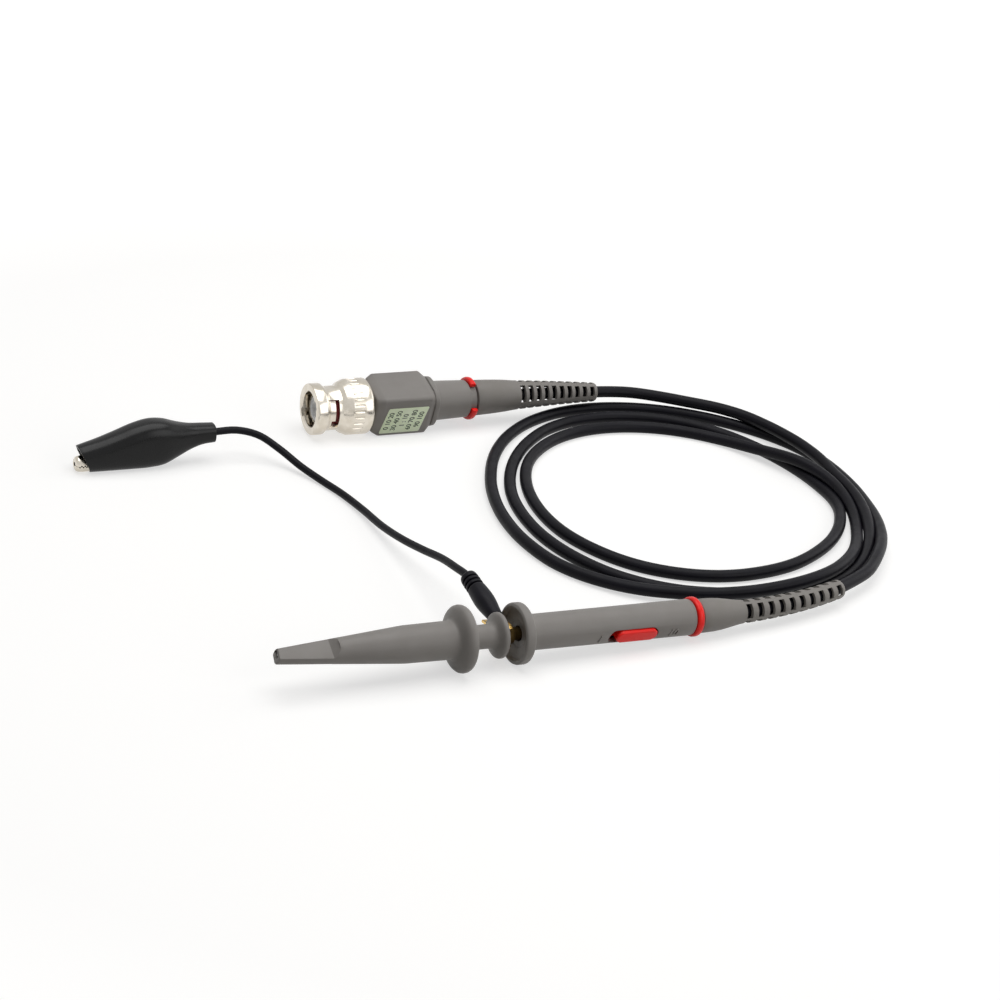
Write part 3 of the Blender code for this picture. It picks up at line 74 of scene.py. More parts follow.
# where the two turned assemblies lie: local Z runs towards the cable, local X points down
layout = {
    "handFront": (5.25, 0, 7.486), "handTilt": 2.3,   # middle of the guard, tail lower
    "plugFront": (7.05, 127.3, 7.82), "plugYaw": -1.6,   # front face of the plug
    "clipTip": (-63.5, 118.0, 0),
}
handSpot = Matrix.Translation(Vector(layout["handFront"]) * mm)
handSpot = handSpot @ Matrix.Rotation(math.radians(90 + layout["handTilt"]), 4, "Y")
plugSpot = Matrix.Translation(Vector(layout["plugFront"]) * mm)
plugSpot = plugSpot @ Matrix.Rotation(math.radians(layout["plugYaw"]), 4, "Z")
plugSpot = plugSpot @ Matrix.Rotation(math.radians(90), 4, "Y")
clipSpot = Matrix.Translation(Vector(layout["clipTip"]) * mm)


# camera, floor and lights

def hexColour(text):
    # sRGB hex to the linear values that the shader's sockets take
    values = [int(text[i:i + 2], 16) / 255 for i in (1, 3, 5)]
    return tuple(v / 12.92 if v <= 0.04045 else ((v + 0.055) / 1.055) ** 2.4 for v in values) + (1,)


def addNode(material, kind, settings=None, links=None):
    # links maps an input to (node, output name)
    node = material.node_tree.nodes.new(kind)
    for key, value in (settings or {}).items():
        if isinstance(key, int) or key in node.inputs:
            node.inputs[key].default_value = value
        else:
            setattr(node, key, value)
    for key, (source, output) in (links or {}).items():
        material.node_tree.links.new(source.outputs[output], node.inputs[key])
    return node


camera = {
    "place": (-253.56, -425.16, 279.29),
    "right": (0.88448, -0.44879, 0.12765), "up": (0.09432, 0.43977, 0.89312), "ahead": (0.45679, 0.77798, -0.43135),
    "lens": 86.88, "sensor": 36,
}
bpy.ops.object.select_all(action="DESELECT")
bpy.ops.object.camera_add(location=Vector(camera["place"]) * mm)
photoCamera = bpy.context.object
photoCamera.name = "photoCamera"
axes = Matrix((camera["right"], camera["up"], [-v for v in camera["ahead"]])).transposed()
photoCamera.rotation_mode = "QUATERNION"
photoCamera.rotation_quaternion = axes.to_quaternion()
photoCamera.data.lens = camera["lens"]
photoCamera.data.sensor_width = camera["sensor"]
photoCamera.data.clip_start = 0.01
photoCamera.data.clip_end = 20
bpy.context.scene.camera = photoCamera
bpy.context.scene.view_settings.view_transform = "Standard"

studio = {"floor": "#bdbcba", "floorSize": 3.0, "lift": 0.6, "farLift": 1.0, "near": 0.2, "far": 0.62,
          "floorMiddle": (0.04, 0.06, 0), "skyLight": 0.06, "skyGloss": 0.8}
bpy.ops.mesh.primitive_plane_add(size=studio["floorSize"], location=studio["floorMiddle"])
floor = bpy.context.object
floor.name = "tableTop"
floorPaper = bpy.data.materials.new("backdropPaper")
floorPaper.use_nodes = True
floorShader = floorPaper.node_tree.nodes["Principled BSDF"]
floorShader.inputs["Base Color"].default_value = hexColour(studio["floor"])
floorShader.inputs["Roughness"].default_value = 0.8
floorShader.inputs["Specular IOR Level"].default_value = 0.1
floorShader.inputs["Emission Color"].default_value = (1, 1, 1, 1)
# the paper is lifted to white where the camera or a reflection sees it, wholly so away from the object
floorSpot = addNode(floorPaper, "ShaderNodeTexCoord")
floorReach = addNode(floorPaper, "ShaderNodeVectorMath", {"operation": "LENGTH"}, {0: (floorSpot, "Object")})
floorLift = addNode(floorPaper, "ShaderNodeMapRange",
                    {"From Min": studio["near"], "From Max": studio["far"], "To Min": studio["lift"],
                     "To Max": studio["farLift"]}, {"Value": (floorReach, "Value")})
floorRays = addNode(floorPaper, "ShaderNodeLightPath")
floorSeen = addNode(floorPaper, "ShaderNodeMath", {"operation": "MAXIMUM"},
                    {0: (floorRays, "Is Camera Ray"), 1: (floorRays, "Is Glossy Ray")})
floorGlow = addNode(floorPaper, "ShaderNodeMath", {"operation": "MULTIPLY"}, {0: (floorLift, 0), 1: (floorSeen, 0)})
floorPaper.node_tree.links.new(floorGlow.outputs[0], floorShader.inputs["Emission Strength"])
floor.data.materials.append(floorPaper)
floor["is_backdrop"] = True

world = bpy.data.worlds.new("softBox")
bpy.context.scene.world = world
world.use_nodes = True
world.node_tree.nodes.clear()
skyOut = addNode(world, "ShaderNodeOutputWorld")
rays = addNode(world, "ShaderNodeLightPath")
clearRay = addNode(world, "ShaderNodeMath", {"operation": "MAXIMUM"},
                   {0: (rays, "Is Camera Ray"), 1: (rays, "Is Transmission Ray")})
glossRay = addNode(world, "ShaderNodeMath", {"operation": "MULTIPLY", 1: studio["skyGloss"]},
                   {0: (rays, "Is Glossy Ray")})
whiteRay = addNode(world, "ShaderNodeMath", {"operation": "MAXIMUM"}, {0: (clearRay, 0), 1: (glossRay, 0)})
skyLevel = addNode(world, "ShaderNodeMath", {"operation": "MAXIMUM", 1: studio["skyLight"]}, {0: (whiteRay, 0)})
sky = addNode(world, "ShaderNodeBackground", {"Color": (1, 1, 1, 1)}, {"Strength": (skyLevel, 0)})
world.node_tree.links.new(sky.outputs[0], skyOut.inputs["Surface"])

lamps = {
    "overheadBox": {"place": (0.06, 0.1, 0.77), "aim": (0.05, 0.06, 0), "size": 0.8, "power": 4.8},
    "frontRightPanel": {"place": (0.42, -0.62, 0.36), "aim": (0.05, 0.04, 0), "size": 0.6, "power": 1.7},
    "rightPanel": {"place": (0.8, 0.05, 0.4), "aim": (0.05, 0.05, 0), "size": 0.6, "power": 1.3},
}
for lampName, lamp in lamps.items():
    bpy.ops.object.light_add(type="AREA", location=lamp["place"])
    panel = bpy.context.object
    panel.name = lampName
    panel.data.shape = "SQUARE"
    panel.data.size = lamp["size"]
    panel.data.energy = lamp["power"]
    panel.rotation_mode = "QUATERNION"
    panel.rotation_quaternion = (Vector(lamp["aim"]) - Vector(lamp["place"])).to_track_quat("-Z", "Y")
print("camera, floor and lights are set")


# materials, each named for what the real one is

def grainBump(material, shader, grain, depth):
    # a noise of the given grain in mm, used as relief of the given depth in mm
    where = addNode(material, "ShaderNodeTexCoord")
    noise = addNode(material, "ShaderNodeTexNoise", {"Scale": 1 / (grain * mm), "Detail": 2.0},
                    {"Vector": (where, "Object")})
    bump = addNode(material, "ShaderNodeBump", {"Strength": 1.0, "Distance": depth * mm}, {"Height": (noise, 0)})
    material.node_tree.links.new(bump.outputs[0], shader.inputs["Normal"])
    return where


def tintNoise(material, shader, where, size, first, second, low=0.4, high=0.6, socket="Base Color"):
    # slow colour drift between two hex values, or a roughness drift between two numbers
    noise = addNode(material, "ShaderNodeTexNoise", {"Scale": 1 / (size * mm), "Detail": 3.0},
                    {"Vector": (where, "Object")})
    ramp = addNode(material, "ShaderNodeValToRGB", None, {0: (noise, 0)})
    stops = ramp.color_ramp.elements
    stops[0].position, stops[1].position = low, high
    for stop, value in zip(stops, (first, second)):
        stop.color = hexColour(value) if isinstance(value, str) else (value, value, value, 1)
    material.node_tree.links.new(ramp.outputs[0], shader.inputs[socket])


def mixFinish(name, look, metallic, driftSize, hazeSize):
    # the colour drifts over driftSize mm and the roughness over hazeSize mm
    material = bpy.data.materials.new(name)
    material.use_nodes = True
    shader = material.node_tree.nodes["Principled BSDF"]
    shader.inputs["Base Color"].default_value = hexColour(look["colour"])
    shader.inputs["Roughness"].default_value = look["roughness"][0]
    shader.inputs["Metallic"].default_value = metallic
    shader.inputs["Specular IOR Level"].default_value = look.get("gloss", 0.5)
    where = grainBump(material, shader, look["grain"], look["depth"])
    tintNoise(material, shader, where, driftSize, look["colour"], look["second"])
    tintNoise(material, shader, where, hazeSize, *look["roughness"], 0.3, 0.7, "Roughness")
    return material


finishes = {
    # spark-eroded ABS moulding: warm mid grey, soft sheen, fine grain drawn coarse enough to show
    "mouldedAbs": {"colour": "#8b8783", "second": "#888480", "roughness": (0.42, 0.5), "grain": 0.35, "depth": 0.006,
                   "gloss": 0.3},
    # soft PVC of the strain reliefs: the same grey, a little duller
    "softPvc": {"colour": "#888480", "second": "#85817c", "roughness": (0.48, 0.56), "grain": 0.4, "depth": 0.008,
                "gloss": 0.26},
    # glossy red moulding of slider and rings
    "redMoulding": {"colour": "#ff1b12", "second": "#f5160e", "roughness": (0.3, 0.38), "grain": 0.6, "depth": 0.003,
                    "gloss": 0.3},
    # extruded PVC jacket: near black with a blue cast
    "cableJacket": {"colour": "#0b0a10", "second": "#0f0e15", "roughness": (0.36, 0.46), "grain": 0.5, "depth": 0.008,
                    "gloss": 0.12},
    # moulded black boot at the lead's end
    "mouldedBoot": {"colour": "#0c0b12", "second": "#100f17", "roughness": (0.36, 0.46), "grain": 0.5, "depth": 0.008,
                    "gloss": 0.13},
    # dipped vinyl of the clip's boot: black and glossy, slightly uneven
    "dippedVinyl": {"colour": "#060607", "second": "#0a0a0b", "roughness": (0.24, 0.32), "grain": 4.0, "depth": 0.03,
                    "gloss": 0.26},
    "whitePtfe": {"colour": "#fbfcfd", "second": "#f4f6f8", "roughness": (0.3, 0.4), "grain": 0.5, "depth": 0.004},
    "siliconeGasket": {"colour": "#7a1512", "second": "#6a100e", "roughness": (0.45, 0.6), "grain": 0.5, "depth": 0.01},
    "solderMask": {"colour": "#1f6b3a", "second": "#1a5e33", "roughness": (0.3, 0.4), "grain": 0.8, "depth": 0.008},
    "glazedCeramic": {"colour": "#b58a55", "second": "#a77d4b", "roughness": (0.3, 0.42), "grain": 0.4, "depth": 0.01},
    "labelFilm": {"colour": "#f4ffe0", "second": "#effbd8", "roughness": (0.34, 0.42), "grain": 0.7, "depth": 0.002},
    "labelInk": {"colour": "#1c331b", "second": "#203a1f", "roughness": (0.5, 0.6), "grain": 0.3, "depth": 0.002},
}
paint = {name: mixFinish(name, look, 0.0, 6.0, 2.5) for name, look in finishes.items()}

metals = {
    # bright nickel plate over brass: warm white metal, fine turning marks and a little haze
    "brightNickel": {"colour": "#dcd5c9", "second": "#d2cabc", "roughness": (0.16, 0.26), "grain": 0.5,
                     "depth": 0.0004},
    # turned brass of the ground barrel and contacts, lightly tarnished
    "turnedBrass": {"colour": "#e2c078", "second": "#cda55c", "roughness": (0.18, 0.3), "grain": 0.5, "depth": 0.0006},
    # brass darkened to a dull brown as painted shade, for the collar that lies in the shade between the flanges
    "brassPaintedShade": {"colour": "#5e4c2c", "second": "#4c3d25", "roughness": (0.38, 0.5), "grain": 0.5, "depth": 0.0006},
    # drawn spring steel
    "drawnSteel": {"colour": "#b9b9bb", "second": "#a2a2a6", "roughness": (0.22, 0.36), "grain": 0.4, "depth": 0.0006},
}
paint.update({name: mixFinish(name, look, 1.0, 3.0, 1.6) for name, look in metals.items()})
print("materials are mixed")


# modelling helpers

def deselectEverything():
    if bpy.context.object and bpy.context.object.mode != "OBJECT":
        bpy.ops.object.mode_set(mode="OBJECT")
    bpy.ops.object.select_all(action="DESELECT")


def pick(piece):
    deselectEverything()
    piece.select_set(True)
    bpy.context.view_layer.objects.active = piece


def selectRims():
    bpy.ops.mesh.select_all(action="DESELECT")
    bpy.ops.mesh.select_mode(type="EDGE")
    bpy.ops.mesh.select_non_manifold()


def closeMesh():
    # the last step in edit mode: every face looks outwards
    bpy.ops.mesh.select_all(action="SELECT")
    bpy.ops.mesh.normals_make_consistent(inside=False)
    bpy.ops.object.mode_set(mode="OBJECT")


def turnPiece(name, rings, sides=96, tube=True):
    # one circle is extruded and resized from ring to ring; a tube's last ring is bridged to its first
    clean = [rings[0]]
    for ring in rings[1:]:
        if abs(ring[0] - clean[-1][0]) + abs(ring[1] - clean[-1][1]) > 0.005:
            clean.append(ring)
    deselectEverything()
    station, radius = clean[0]
    bpy.ops.mesh.primitive_circle_add(vertices=sides, radius=radius * mm, location=(0, 0, station * mm),
                                      fill_type="NOTHING" if tube else "NGON")
    piece = bpy.context.object
    piece.name = name
    bpy.ops.object.mode_set(mode="EDIT")
    bpy.ops.mesh.select_all(action="SELECT")
    for nextStation, nextRadius in clean[1:]:
        bpy.ops.mesh.extrude_region_move(TRANSFORM_OT_translate={"value": (0, 0, (nextStation - station) * mm)})
        ratio = nextRadius / radius
        bpy.ops.transform.resize(value=(ratio, ratio, 1), center_override=(0, 0, nextStation * mm))
        station, radius = nextStation, nextRadius
    if tube:
        selectRims()
        bpy.ops.mesh.bridge_edge_loops()
    closeMesh()
    applyPlace(piece)
    return piece


def applyPlace(piece):
    pick(piece)
    bpy.ops.object.transform_apply(location=True, rotation=True, scale=True)


def block(name, low, high, spin=0.0):
    # a cube stretched between two corners, turned about the local axis
    middle = [(a + b) / 2 * mm for a, b in zip(low, high)]
    size = [(b - a) * mm for a, b in zip(low, high)]
    deselectEverything()
    bpy.ops.mesh.primitive_cube_add(size=1, location=middle, scale=size)
    piece = bpy.context.object
    piece.name = name
    applyPlace(piece)
    if spin:
        piece.rotation_euler.z = math.radians(spin)
        applyPlace(piece)
    return piece


def rod(vertices, radius, low, high, x=0.0, y=0.0, tilt=0.0):
    # a cylinder along the local axis; its place is applied by whoever asked for it
    deselectEverything()
    bpy.ops.mesh.primitive_cylinder_add(
        vertices=vertices, radius=radius * mm, depth=(high - low) * mm,
        location=(x * mm, y * mm, (low + high) / 2 * mm), rotation=(math.radians(tilt), 0, 0))
    return bpy.context.object


def lay(piece, place):
    piece.matrix_world = place @ piece.matrix_world
    applyPlace(piece)


def turnMesh(piece, angle, axis):
    lay(piece, Matrix.Rotation(math.radians(angle), 4, axis))


def shiftMesh(piece, offset):
    lay(piece, Matrix.Translation(Vector(offset) * mm))


def combine(piece, tool, operation):
    pick(piece)
    step = piece.modifiers.new("Boolean", "BOOLEAN")
    step.operation = operation
    step.solver = "EXACT"
    step.object = tool
    bpy.ops.object.modifier_apply(modifier=step.name)
    bpy.data.objects.remove(tool, do_unlink=True)


def gather(pieces):
    # several closed tools become one
    pick(pieces[0])
    for other in pieces[1:]:
        other.select_set(True)
    if len(pieces) > 1:
        bpy.ops.object.join()
    return bpy.context.object


def roundEdges(piece, width, segments=2, angle=35):
    pick(piece)
    step = piece.modifiers.new("Bevel", "BEVEL")
    step.width = width * mm
    step.segments = segments
    step.limit_method = "ANGLE"
    step.angle_limit = math.radians(angle)
    step.use_clamp_overlap = True
    bpy.ops.object.modifier_apply(modifier=step.name)


def prismFrom(name, outline, low, high):
    # a flat outline filled and pushed through, between two heights
    deselectEverything()
    bpy.ops.mesh.primitive_circle_add(vertices=len(outline), radius=0.01, fill_type="NGON")
    piece = bpy.context.object
    piece.name = name
    for vertex, (x, y) in zip(piece.data.vertices, outline):
        vertex.co = (x * mm, y * mm, low * mm)
    bpy.ops.object.mode_set(mode="EDIT")
    bpy.ops.mesh.select_all(action="SELECT")
    bpy.ops.mesh.extrude_region_move(TRANSFORM_OT_translate={"value": (0, 0, (high - low) * mm)})
    closeMesh()
    return piece


def seat(piece, spot, finish, body, nodes, turn=0.0, smooth=35):
    # puts a finished piece in its place, gives it its finish and ties it to its body and nodes
    lay(piece, spot @ Matrix.Rotation(math.radians(turn), 4, "Z"))
    bpy.ops.object.shade_smooth_by_angle(angle=math.radians(smooth))
    piece.data.materials.clear()
    piece.data.materials.append(paint[finish])
    if body:
        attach(piece, body)
    if nodes:
        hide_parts(*nodes)
    return piece


def bendPoint(point, bend):
    # x, y, station in mm on the straight piece, to its place when the axis bends as an arc
    if point[2] <= bend["start"]:
        return Vector(point)
    total = math.radians(bend["angle"])
    radius = (bend["end"] - bend["start"]) / total
    turn = min(point[2] - bend["start"], bend["end"] - bend["start"]) / radius
    beyond = max(0.0, point[2] - bend["end"])
    lean = math.radians(bend["lean"])
    side, forward = Vector((-math.sin(lean), math.cos(lean), 0)), Vector((0, 0, 1))
    shift = Vector((point[0], point[1], 0))
    across = shift.dot(side)
    shift -= across * side
    ahead = forward * math.cos(turn) + side * math.sin(turn)
    outward = side * math.cos(turn) - forward * math.sin(turn)
    centre = forward * (bend["start"] + radius * math.sin(turn)) + side * radius * (1 - math.cos(turn))
    return centre + ahead * beyond + outward * across + shift


def bendMesh(piece, bend):
    for vertex in piece.data.vertices:
        vertex.co = bendPoint(vertex.co / mm, bend) * mm


handBend = {"start": 60.0, "end": 97.4, "angle": 16.2, "lean": 9.8}
boxBend = {"start": 56.0, "end": 88.6, "angle": 3.1, "lean": -90}


def cubic(u, first, last, firstSlope, lastSlope):
    # from first to last as u goes from 0 to 1
    return ((2 * u**3 - 3 * u**2 + 1) * first + (u**3 - 2 * u**2 + u) * firstSlope
            + (3 * u**2 - 2 * u**3) * last + (u**3 - u**2) * lastSlope)


def smoothLine(points, spacing):
    # evenly spaced points on a smooth curve through the given ones
    points = np.array(points, float)
    knots = np.concatenate([[0], np.cumsum(np.linalg.norm(np.diff(points, axis=0), axis=1) ** 0.5)])
    slopes = np.gradient(points, knots, axis=0)
    dense = []
    for i in range(len(points) - 1):
        span = knots[i + 1] - knots[i]
        for u in np.linspace(0, 1, 12, endpoint=False):
            dense.append(cubic(u, points[i], points[i + 1], span * slopes[i], span * slopes[i + 1]))
    dense.append(points[-1])
    dense = np.array(dense)
    along = np.concatenate([[0], np.cumsum(np.linalg.norm(np.diff(dense, axis=0), axis=1))])
    stations = np.linspace(0, along[-1], max(2, round(along[-1] / spacing) + 1))
    line = np.stack([np.interp(stations, along, dense[:, k]) for k in range(3)], axis=1)
    return line, along[-1]


def pullCord(name, line, radius, sides):
    curve = bpy.data.curves.new(name, "CURVE")
    curve.dimensions = "3D"
    curve.bevel_depth = radius * mm
    curve.bevel_resolution = sides
    curve.use_fill_caps = True
    spline = curve.splines.new("POLY")
    spline.points.add(len(line) - 1)
    for point, place in zip(spline.points, line):
        point.co = (*[float(v) * mm for v in place], 1)
    spline.use_smooth = True
    piece = bpy.data.objects.new(name, curve)
    bpy.context.scene.collection.objects.link(piece)
    return piece


# the coaxial cable, one length from the handpiece round the coil to the compensation box

cable = {
    "radius": 1.66, "centre": (90.15, 65.3), "spacing": 2.2,
    "handStations": (41, 46, 52, 58, 64, 70, 76, 82, 88, 93.5),
    "boxStations": (84, 78, 70, 62, 54, 46, 37.5),
    "rest": 1.6, "step": 9.0, "weight": 8,   # the weight keeps the curve smooth in radius and height
    # from the box inwards: angle in degrees, distance from the coil's middle, and the axis's height where it leaves
    # its rest on the table
    "coil": (
        (78, 61.4, 6.2), (70, 62.2, 5.6), (60, 61.4, 5.1), (50, 61.6, 4.85), (42, 60.7, 4.85), (35, 58.8, 4.9),
        (28, 57.2, 4.8), (20, 55.8, 4.5), (10, 53.9, 4.1), (0, 51.9, 3.8), (-10, 51.8, 3.6), (-20, 51.9, 3.2),
        (-30, 52.1, 2.9), (-45, 53.1, 2.3), (-60, 54.3, 1.7), (-75, 54.6), (-90, 53.7), (-105, 53.2), (-120, 53.9),
        (-135, 53.4), (-150, 51.6), (-165, 49.6), (-180, 47.7), (-195, 46.6), (-210, 46.2), (-225, 46.9),
        (-240, 48.7), (-255, 51.3), (-270, 53.1), (-285, 53.7), (-300, 53.2), (-315, 51.0), (-330, 48.4),
        (-345, 46.7), (-360, 46.0), (-375, 46.1), (-390, 44.7), (-405, 43.3), (-420, 42.4), (-435, 42.5),
        (-450, 42.9), (-465, 43.8), (-480, 44.4), (-495, 44.5), (-510, 43.7), (-525, 42.9), (-540, 41.9),
        (-555, 41.5), (-570, 41.9), (-585, 43.0), (-600, 44.2), (-615, 45.5), (-630, 46.4), (-645, 46.8),
        (-660, 46.9), (-675, 46.5, 1.7), (-682, 45.9, 2.1), (-690, 45.2, 2.8), (-698, 44.8, 3.8), (-705, 45.1, 4.6),
        (-712, 46.1, 4.8), (-720, 47.4, 4.4), (-728, 48.4, 3.6), (-736, 48.9, 2.7), (-745, 49.1, 2.0),
        (-755, 49.1, 1.8), (-766, 49.9, 2.7), (-780, 51.9, 4.1), (-795, 54.2, 4.8), (-810, 55.2, 4.4),
        (-825, 55.9, 3.4), (-840, 57.3, 2.8), (-855, 58.4, 2.1), (-870, 58.2, 1.65), (-885, 55.9), (-900, 53.4),
        (-915, 51.8), (-930, 51.5), (-945, 52.8), (-960, 55.1), (-975, 57.7), (-990, 59.6), (-1005, 60.3),
        (-1020, 60.2), (-1035, 59.8), (-1050, 59.5), (-1065, 58.2), (-1080, 56.1), (-1095, 54.9, 1.75),
        (-1110, 55.0, 2.7), (-1130, 56.8, 4.25), (-1145, 59.3, 4.3),
    ),
}


def cableRoute():
    weight = cable["weight"]
    coil = [(*point, cable["rest"])[:3] for point in reversed(cable["coil"])]
    flat, _ = smoothLine([(angle, radius * weight, height * weight) for angle, radius, height in coil], cable["step"])
    route = [handSpot @ (bendPoint((0, 0, s), handBend) * mm) / mm for s in cable["handStations"]]
    for angle, radius, height in flat:
        turn = math.radians(angle)
        x, y = cable["centre"]
        route.append(Vector((x + radius / weight * math.cos(turn), y + radius / weight * math.sin(turn),
                             height / weight)))
    route += [plugSpot @ (bendPoint((0, 0, s), boxBend) * mm) / mm for s in cable["boxStations"]]
    return smoothLine([list(p) for p in route], cable["spacing"])


cableLine, cableLength = cableRoute()
coaxCable = pullCord("coaxCable", cableLine, cable["radius"], 8)
coaxCable.data.materials.append(paint["cableJacket"])
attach(coaxCable, "probe")
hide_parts("cable_front", "cable_coil", "cable_rear")
print("the coaxial cable is", round(cableLength), "mm long")

lead = {
    "radius": 1.0, "spacing": 1.4, "rise": 9.4, "bootStart": 6.0, "bootLength": 16.5, "contactStation": -1.9,
    "route": (
        (3.2, 29.0, 10.4), (3.4, 36.2, 8.9), (2.8, 45.6, 6.6), (2.0, 55.4, 4.6), (1.6, 66.4, 2.8),
        (1.6, 79.0, 1.5), (0.3, 89.2, 1.15), (-2.0, 97.6, 1.2), (-5.0, 104.9, 2.2), (-8.6, 111.6, 4.5),
        (-13.0, 116.0, 6.9), (-18.6, 117.8, 8.1), (-25.5, 118.0, 8.1), (-34.3, 118.0, 8.1),
    ),
}
rise = math.radians(lead["rise"])
collarMiddle = handSpot @ Vector((0, 0, lead["contactStation"] * mm)) / mm
bootAim = Vector((0, math.cos(rise), math.sin(rise)))
bootEnd = lead["bootStart"] + lead["bootLength"]
leadLine, leadLength = smoothLine(
    [list(collarMiddle + bootAim * d) for d in (lead["bootStart"] + 5.5, bootEnd - 5, bootEnd)] + list(lead["route"]),
    lead["spacing"])
groundLead = pullCord("groundLead", leadLine, lead["radius"], 6)
groundLead.data.materials.append(paint["cableJacket"])
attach(groundLead, "probe")
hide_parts("ground_lead")
print("the ground lead is", round(leadLength), "mm long")


# more shaping: cuts square to an axis, sectors, stadiums, sections that aren't round

sideways = Matrix(((0, 0, 1, 0), (1, 0, 0, 0), (0, 1, 0, 0), (0, 0, 0, 1)))   # outline in (y, station), pushed along x
outwards = Matrix(((0, -1, 0, 0), (0, 0, -1, 0), (1, 0, 0, 0), (0, 0, 0, 1)))   # station, height and outwards


def sideTool(name, outline, half):
    piece = prismFrom(name, outline, -half, half)
    lay(piece, sideways)
    return piece


def sectorTool(name, inner, outer, low, high, first, last):
    # a slice of a ring; angles are degrees above the near side
    count = max(2, round(abs(last - first) / 4))
    turns = [math.radians(first + (last - first) * i / count) for i in range(count + 1)]
    outline = [(-outer * math.sin(t), -outer * math.cos(t)) for t in turns]
    outline += [(-inner * math.sin(t), -inner * math.cos(t)) for t in reversed(turns)]
    return prismFrom(name, outline, low, high)


def stadiumOutline(middle, length, width, steps=12):
    radius, reach = width / 2, (length - width) / 2
    points = []
    for side, base in ((1, -90), (-1, 90)):
        for i in range(steps + 1):
            t = math.radians(base + 180 * i / steps)
            points.append((middle + side * reach + radius * math.cos(t), radius * math.sin(t)))
    return points


def squareReach(direction, half, corner):
    # distance from the middle to the edge of a square with round corners
    x, y = abs(math.cos(direction)), abs(math.sin(direction))
    x, y = max(x, y), min(x, y)
    straight = half - corner
    if half * y / x <= straight:
        return half / x
    along = straight * (x + y)
    return along + math.sqrt(max(0.0, along**2 - 2 * straight**2 + corner**2))


def skinSections(name, sections, directions, reach, capped=True):
    # a circle's points are moved to each section in turn: reach(direction, section) is how far out each goes
    deselectEverything()
    bpy.ops.mesh.primitive_circle_add(vertices=len(directions), radius=mm, fill_type="NGON" if capped else "NOTHING")
    piece = bpy.context.object
    piece.name = name
    bpy.ops.object.mode_set(mode="EDIT")
    bpy.ops.mesh.select_all(action="SELECT")
    step = 2 * math.pi / len(directions)
    spots = []
    for section in sections:
        if spots:
            bpy.ops.mesh.extrude_region_move(TRANSFORM_OT_translate={"value": (0, 0, mm)})
        mesh = bmesh.from_edit_mesh(piece.data)
        for vertex in mesh.verts:
            if vertex.select:
                which = round((math.atan2(vertex.co.y, vertex.co.x) % (2 * math.pi)) / step) % len(directions)
                if spots:
                    which = closestRound(vertex.co, spots)
                x, y = reach(directions[which], section)
                vertex.co = (x * mm, y * mm, section[0] * mm)
        spots = [[v * mm for v in reach(direction, section)] for direction in directions]
        bmesh.update_edit_mesh(piece.data)
    closeMesh()
    return piece


def closestRound(place, spots):
    return min(range(len(spots)), key=lambda i: (spots[i][0] - place.x) ** 2 + (spots[i][1] - place.y) ** 2)


def writeNumbers(name, text, height, thick, slant=0.0):
    # raised plain numbers, flat, centred on the origin
    deselectEverything()
    bpy.ops.object.text_add(location=(0, 0, 0))
    piece = bpy.context.object
    piece.name = name
    piece.data.body = text
    piece.data.align_x, piece.data.align_y = "CENTER", "CENTER"
    piece.data.size = height / 0.69 * mm   # the font's figures are 0.69 of its size
    piece.data.shear = slant
    piece.data.resolution_u = 4
    piece.data.extrude = thick / 2 * mm
    piece.data.bevel_depth = 0.03 * mm
    bpy.ops.object.convert(target="MESH")
    return piece


# the sleeve over the hook, with its flats and finger flange

nose = {
    "turn": -63,   # degrees, brings the flats to the near side
    "barrel": [(-61, 1.45), (-60.85, 1.68), (-60.6, 1.76), (-45, 3.08), (-30.2, 4.34), (-29.0, 4.42), (-18.4, 4.56)],
    "flange": [(-17.3, 4.58), (-17.0, 4.66), (-16.75, 4.9), (-16.5, 5.4), (-16.2, 6.2), (-15.9, 6.95), (-15.5, 7.55),
               (-15.05, 7.9), (-14.5, 8.03), (-13.95, 7.98), (-13.5, 7.76), (-13.3, 7.3)],
    "bore": [(-13.3, 3.2), (-14.5, 3.2), (-14.5, 3.6), (-30.2, 3.6), (-30.7, 3.1), (-37.8, 3.1), (-37.8, 0.6),
             (-61, 0.6)],
    "flat": 1.15, "flatEnd": -47.6, "runOut": 1.5, "end": -60.6, "endLean": 16,
}
noseSleeve = turnPiece("noseSleeve", nose["barrel"] + nose["flange"] + nose["bore"])
cuts = []
flat, end, run = nose["flat"], nose["flatEnd"], nose["runOut"]
for side in (1, -1):
    outline = [(flat, -63), (flat, end), (flat + run, end + run), (7, end + run), (7, -63)]
    cuts.append(sideTool("flatCut", [(side * y, s) for y, s in outline][::side], 8))
tipSlot = block("tipSlot", (-1.7, -0.5, -64), (0.6, 0.5, -58.6))
slant = block("tipSlant", (-6, -6, -8), (6, 6, 0))   # the tip's end leans, longer at its lower side
turnMesh(slant, nose["endLean"], "Y")
shiftMesh(slant, (0, 0, nose["end"]))
turnMesh(slant, -nose["turn"], "Z")
combine(noseSleeve, gather(cuts), "DIFFERENCE")
combine(noseSleeve, tipSlot, "DIFFERENCE")
combine(noseSleeve, slant, "DIFFERENCE")
roundEdges(noseSleeve, 0.1, 2, 32)
seat(noseSleeve, handSpot, "mouldedAbs", "sleeve", ["hook_sleeve"], nose["turn"], 30)

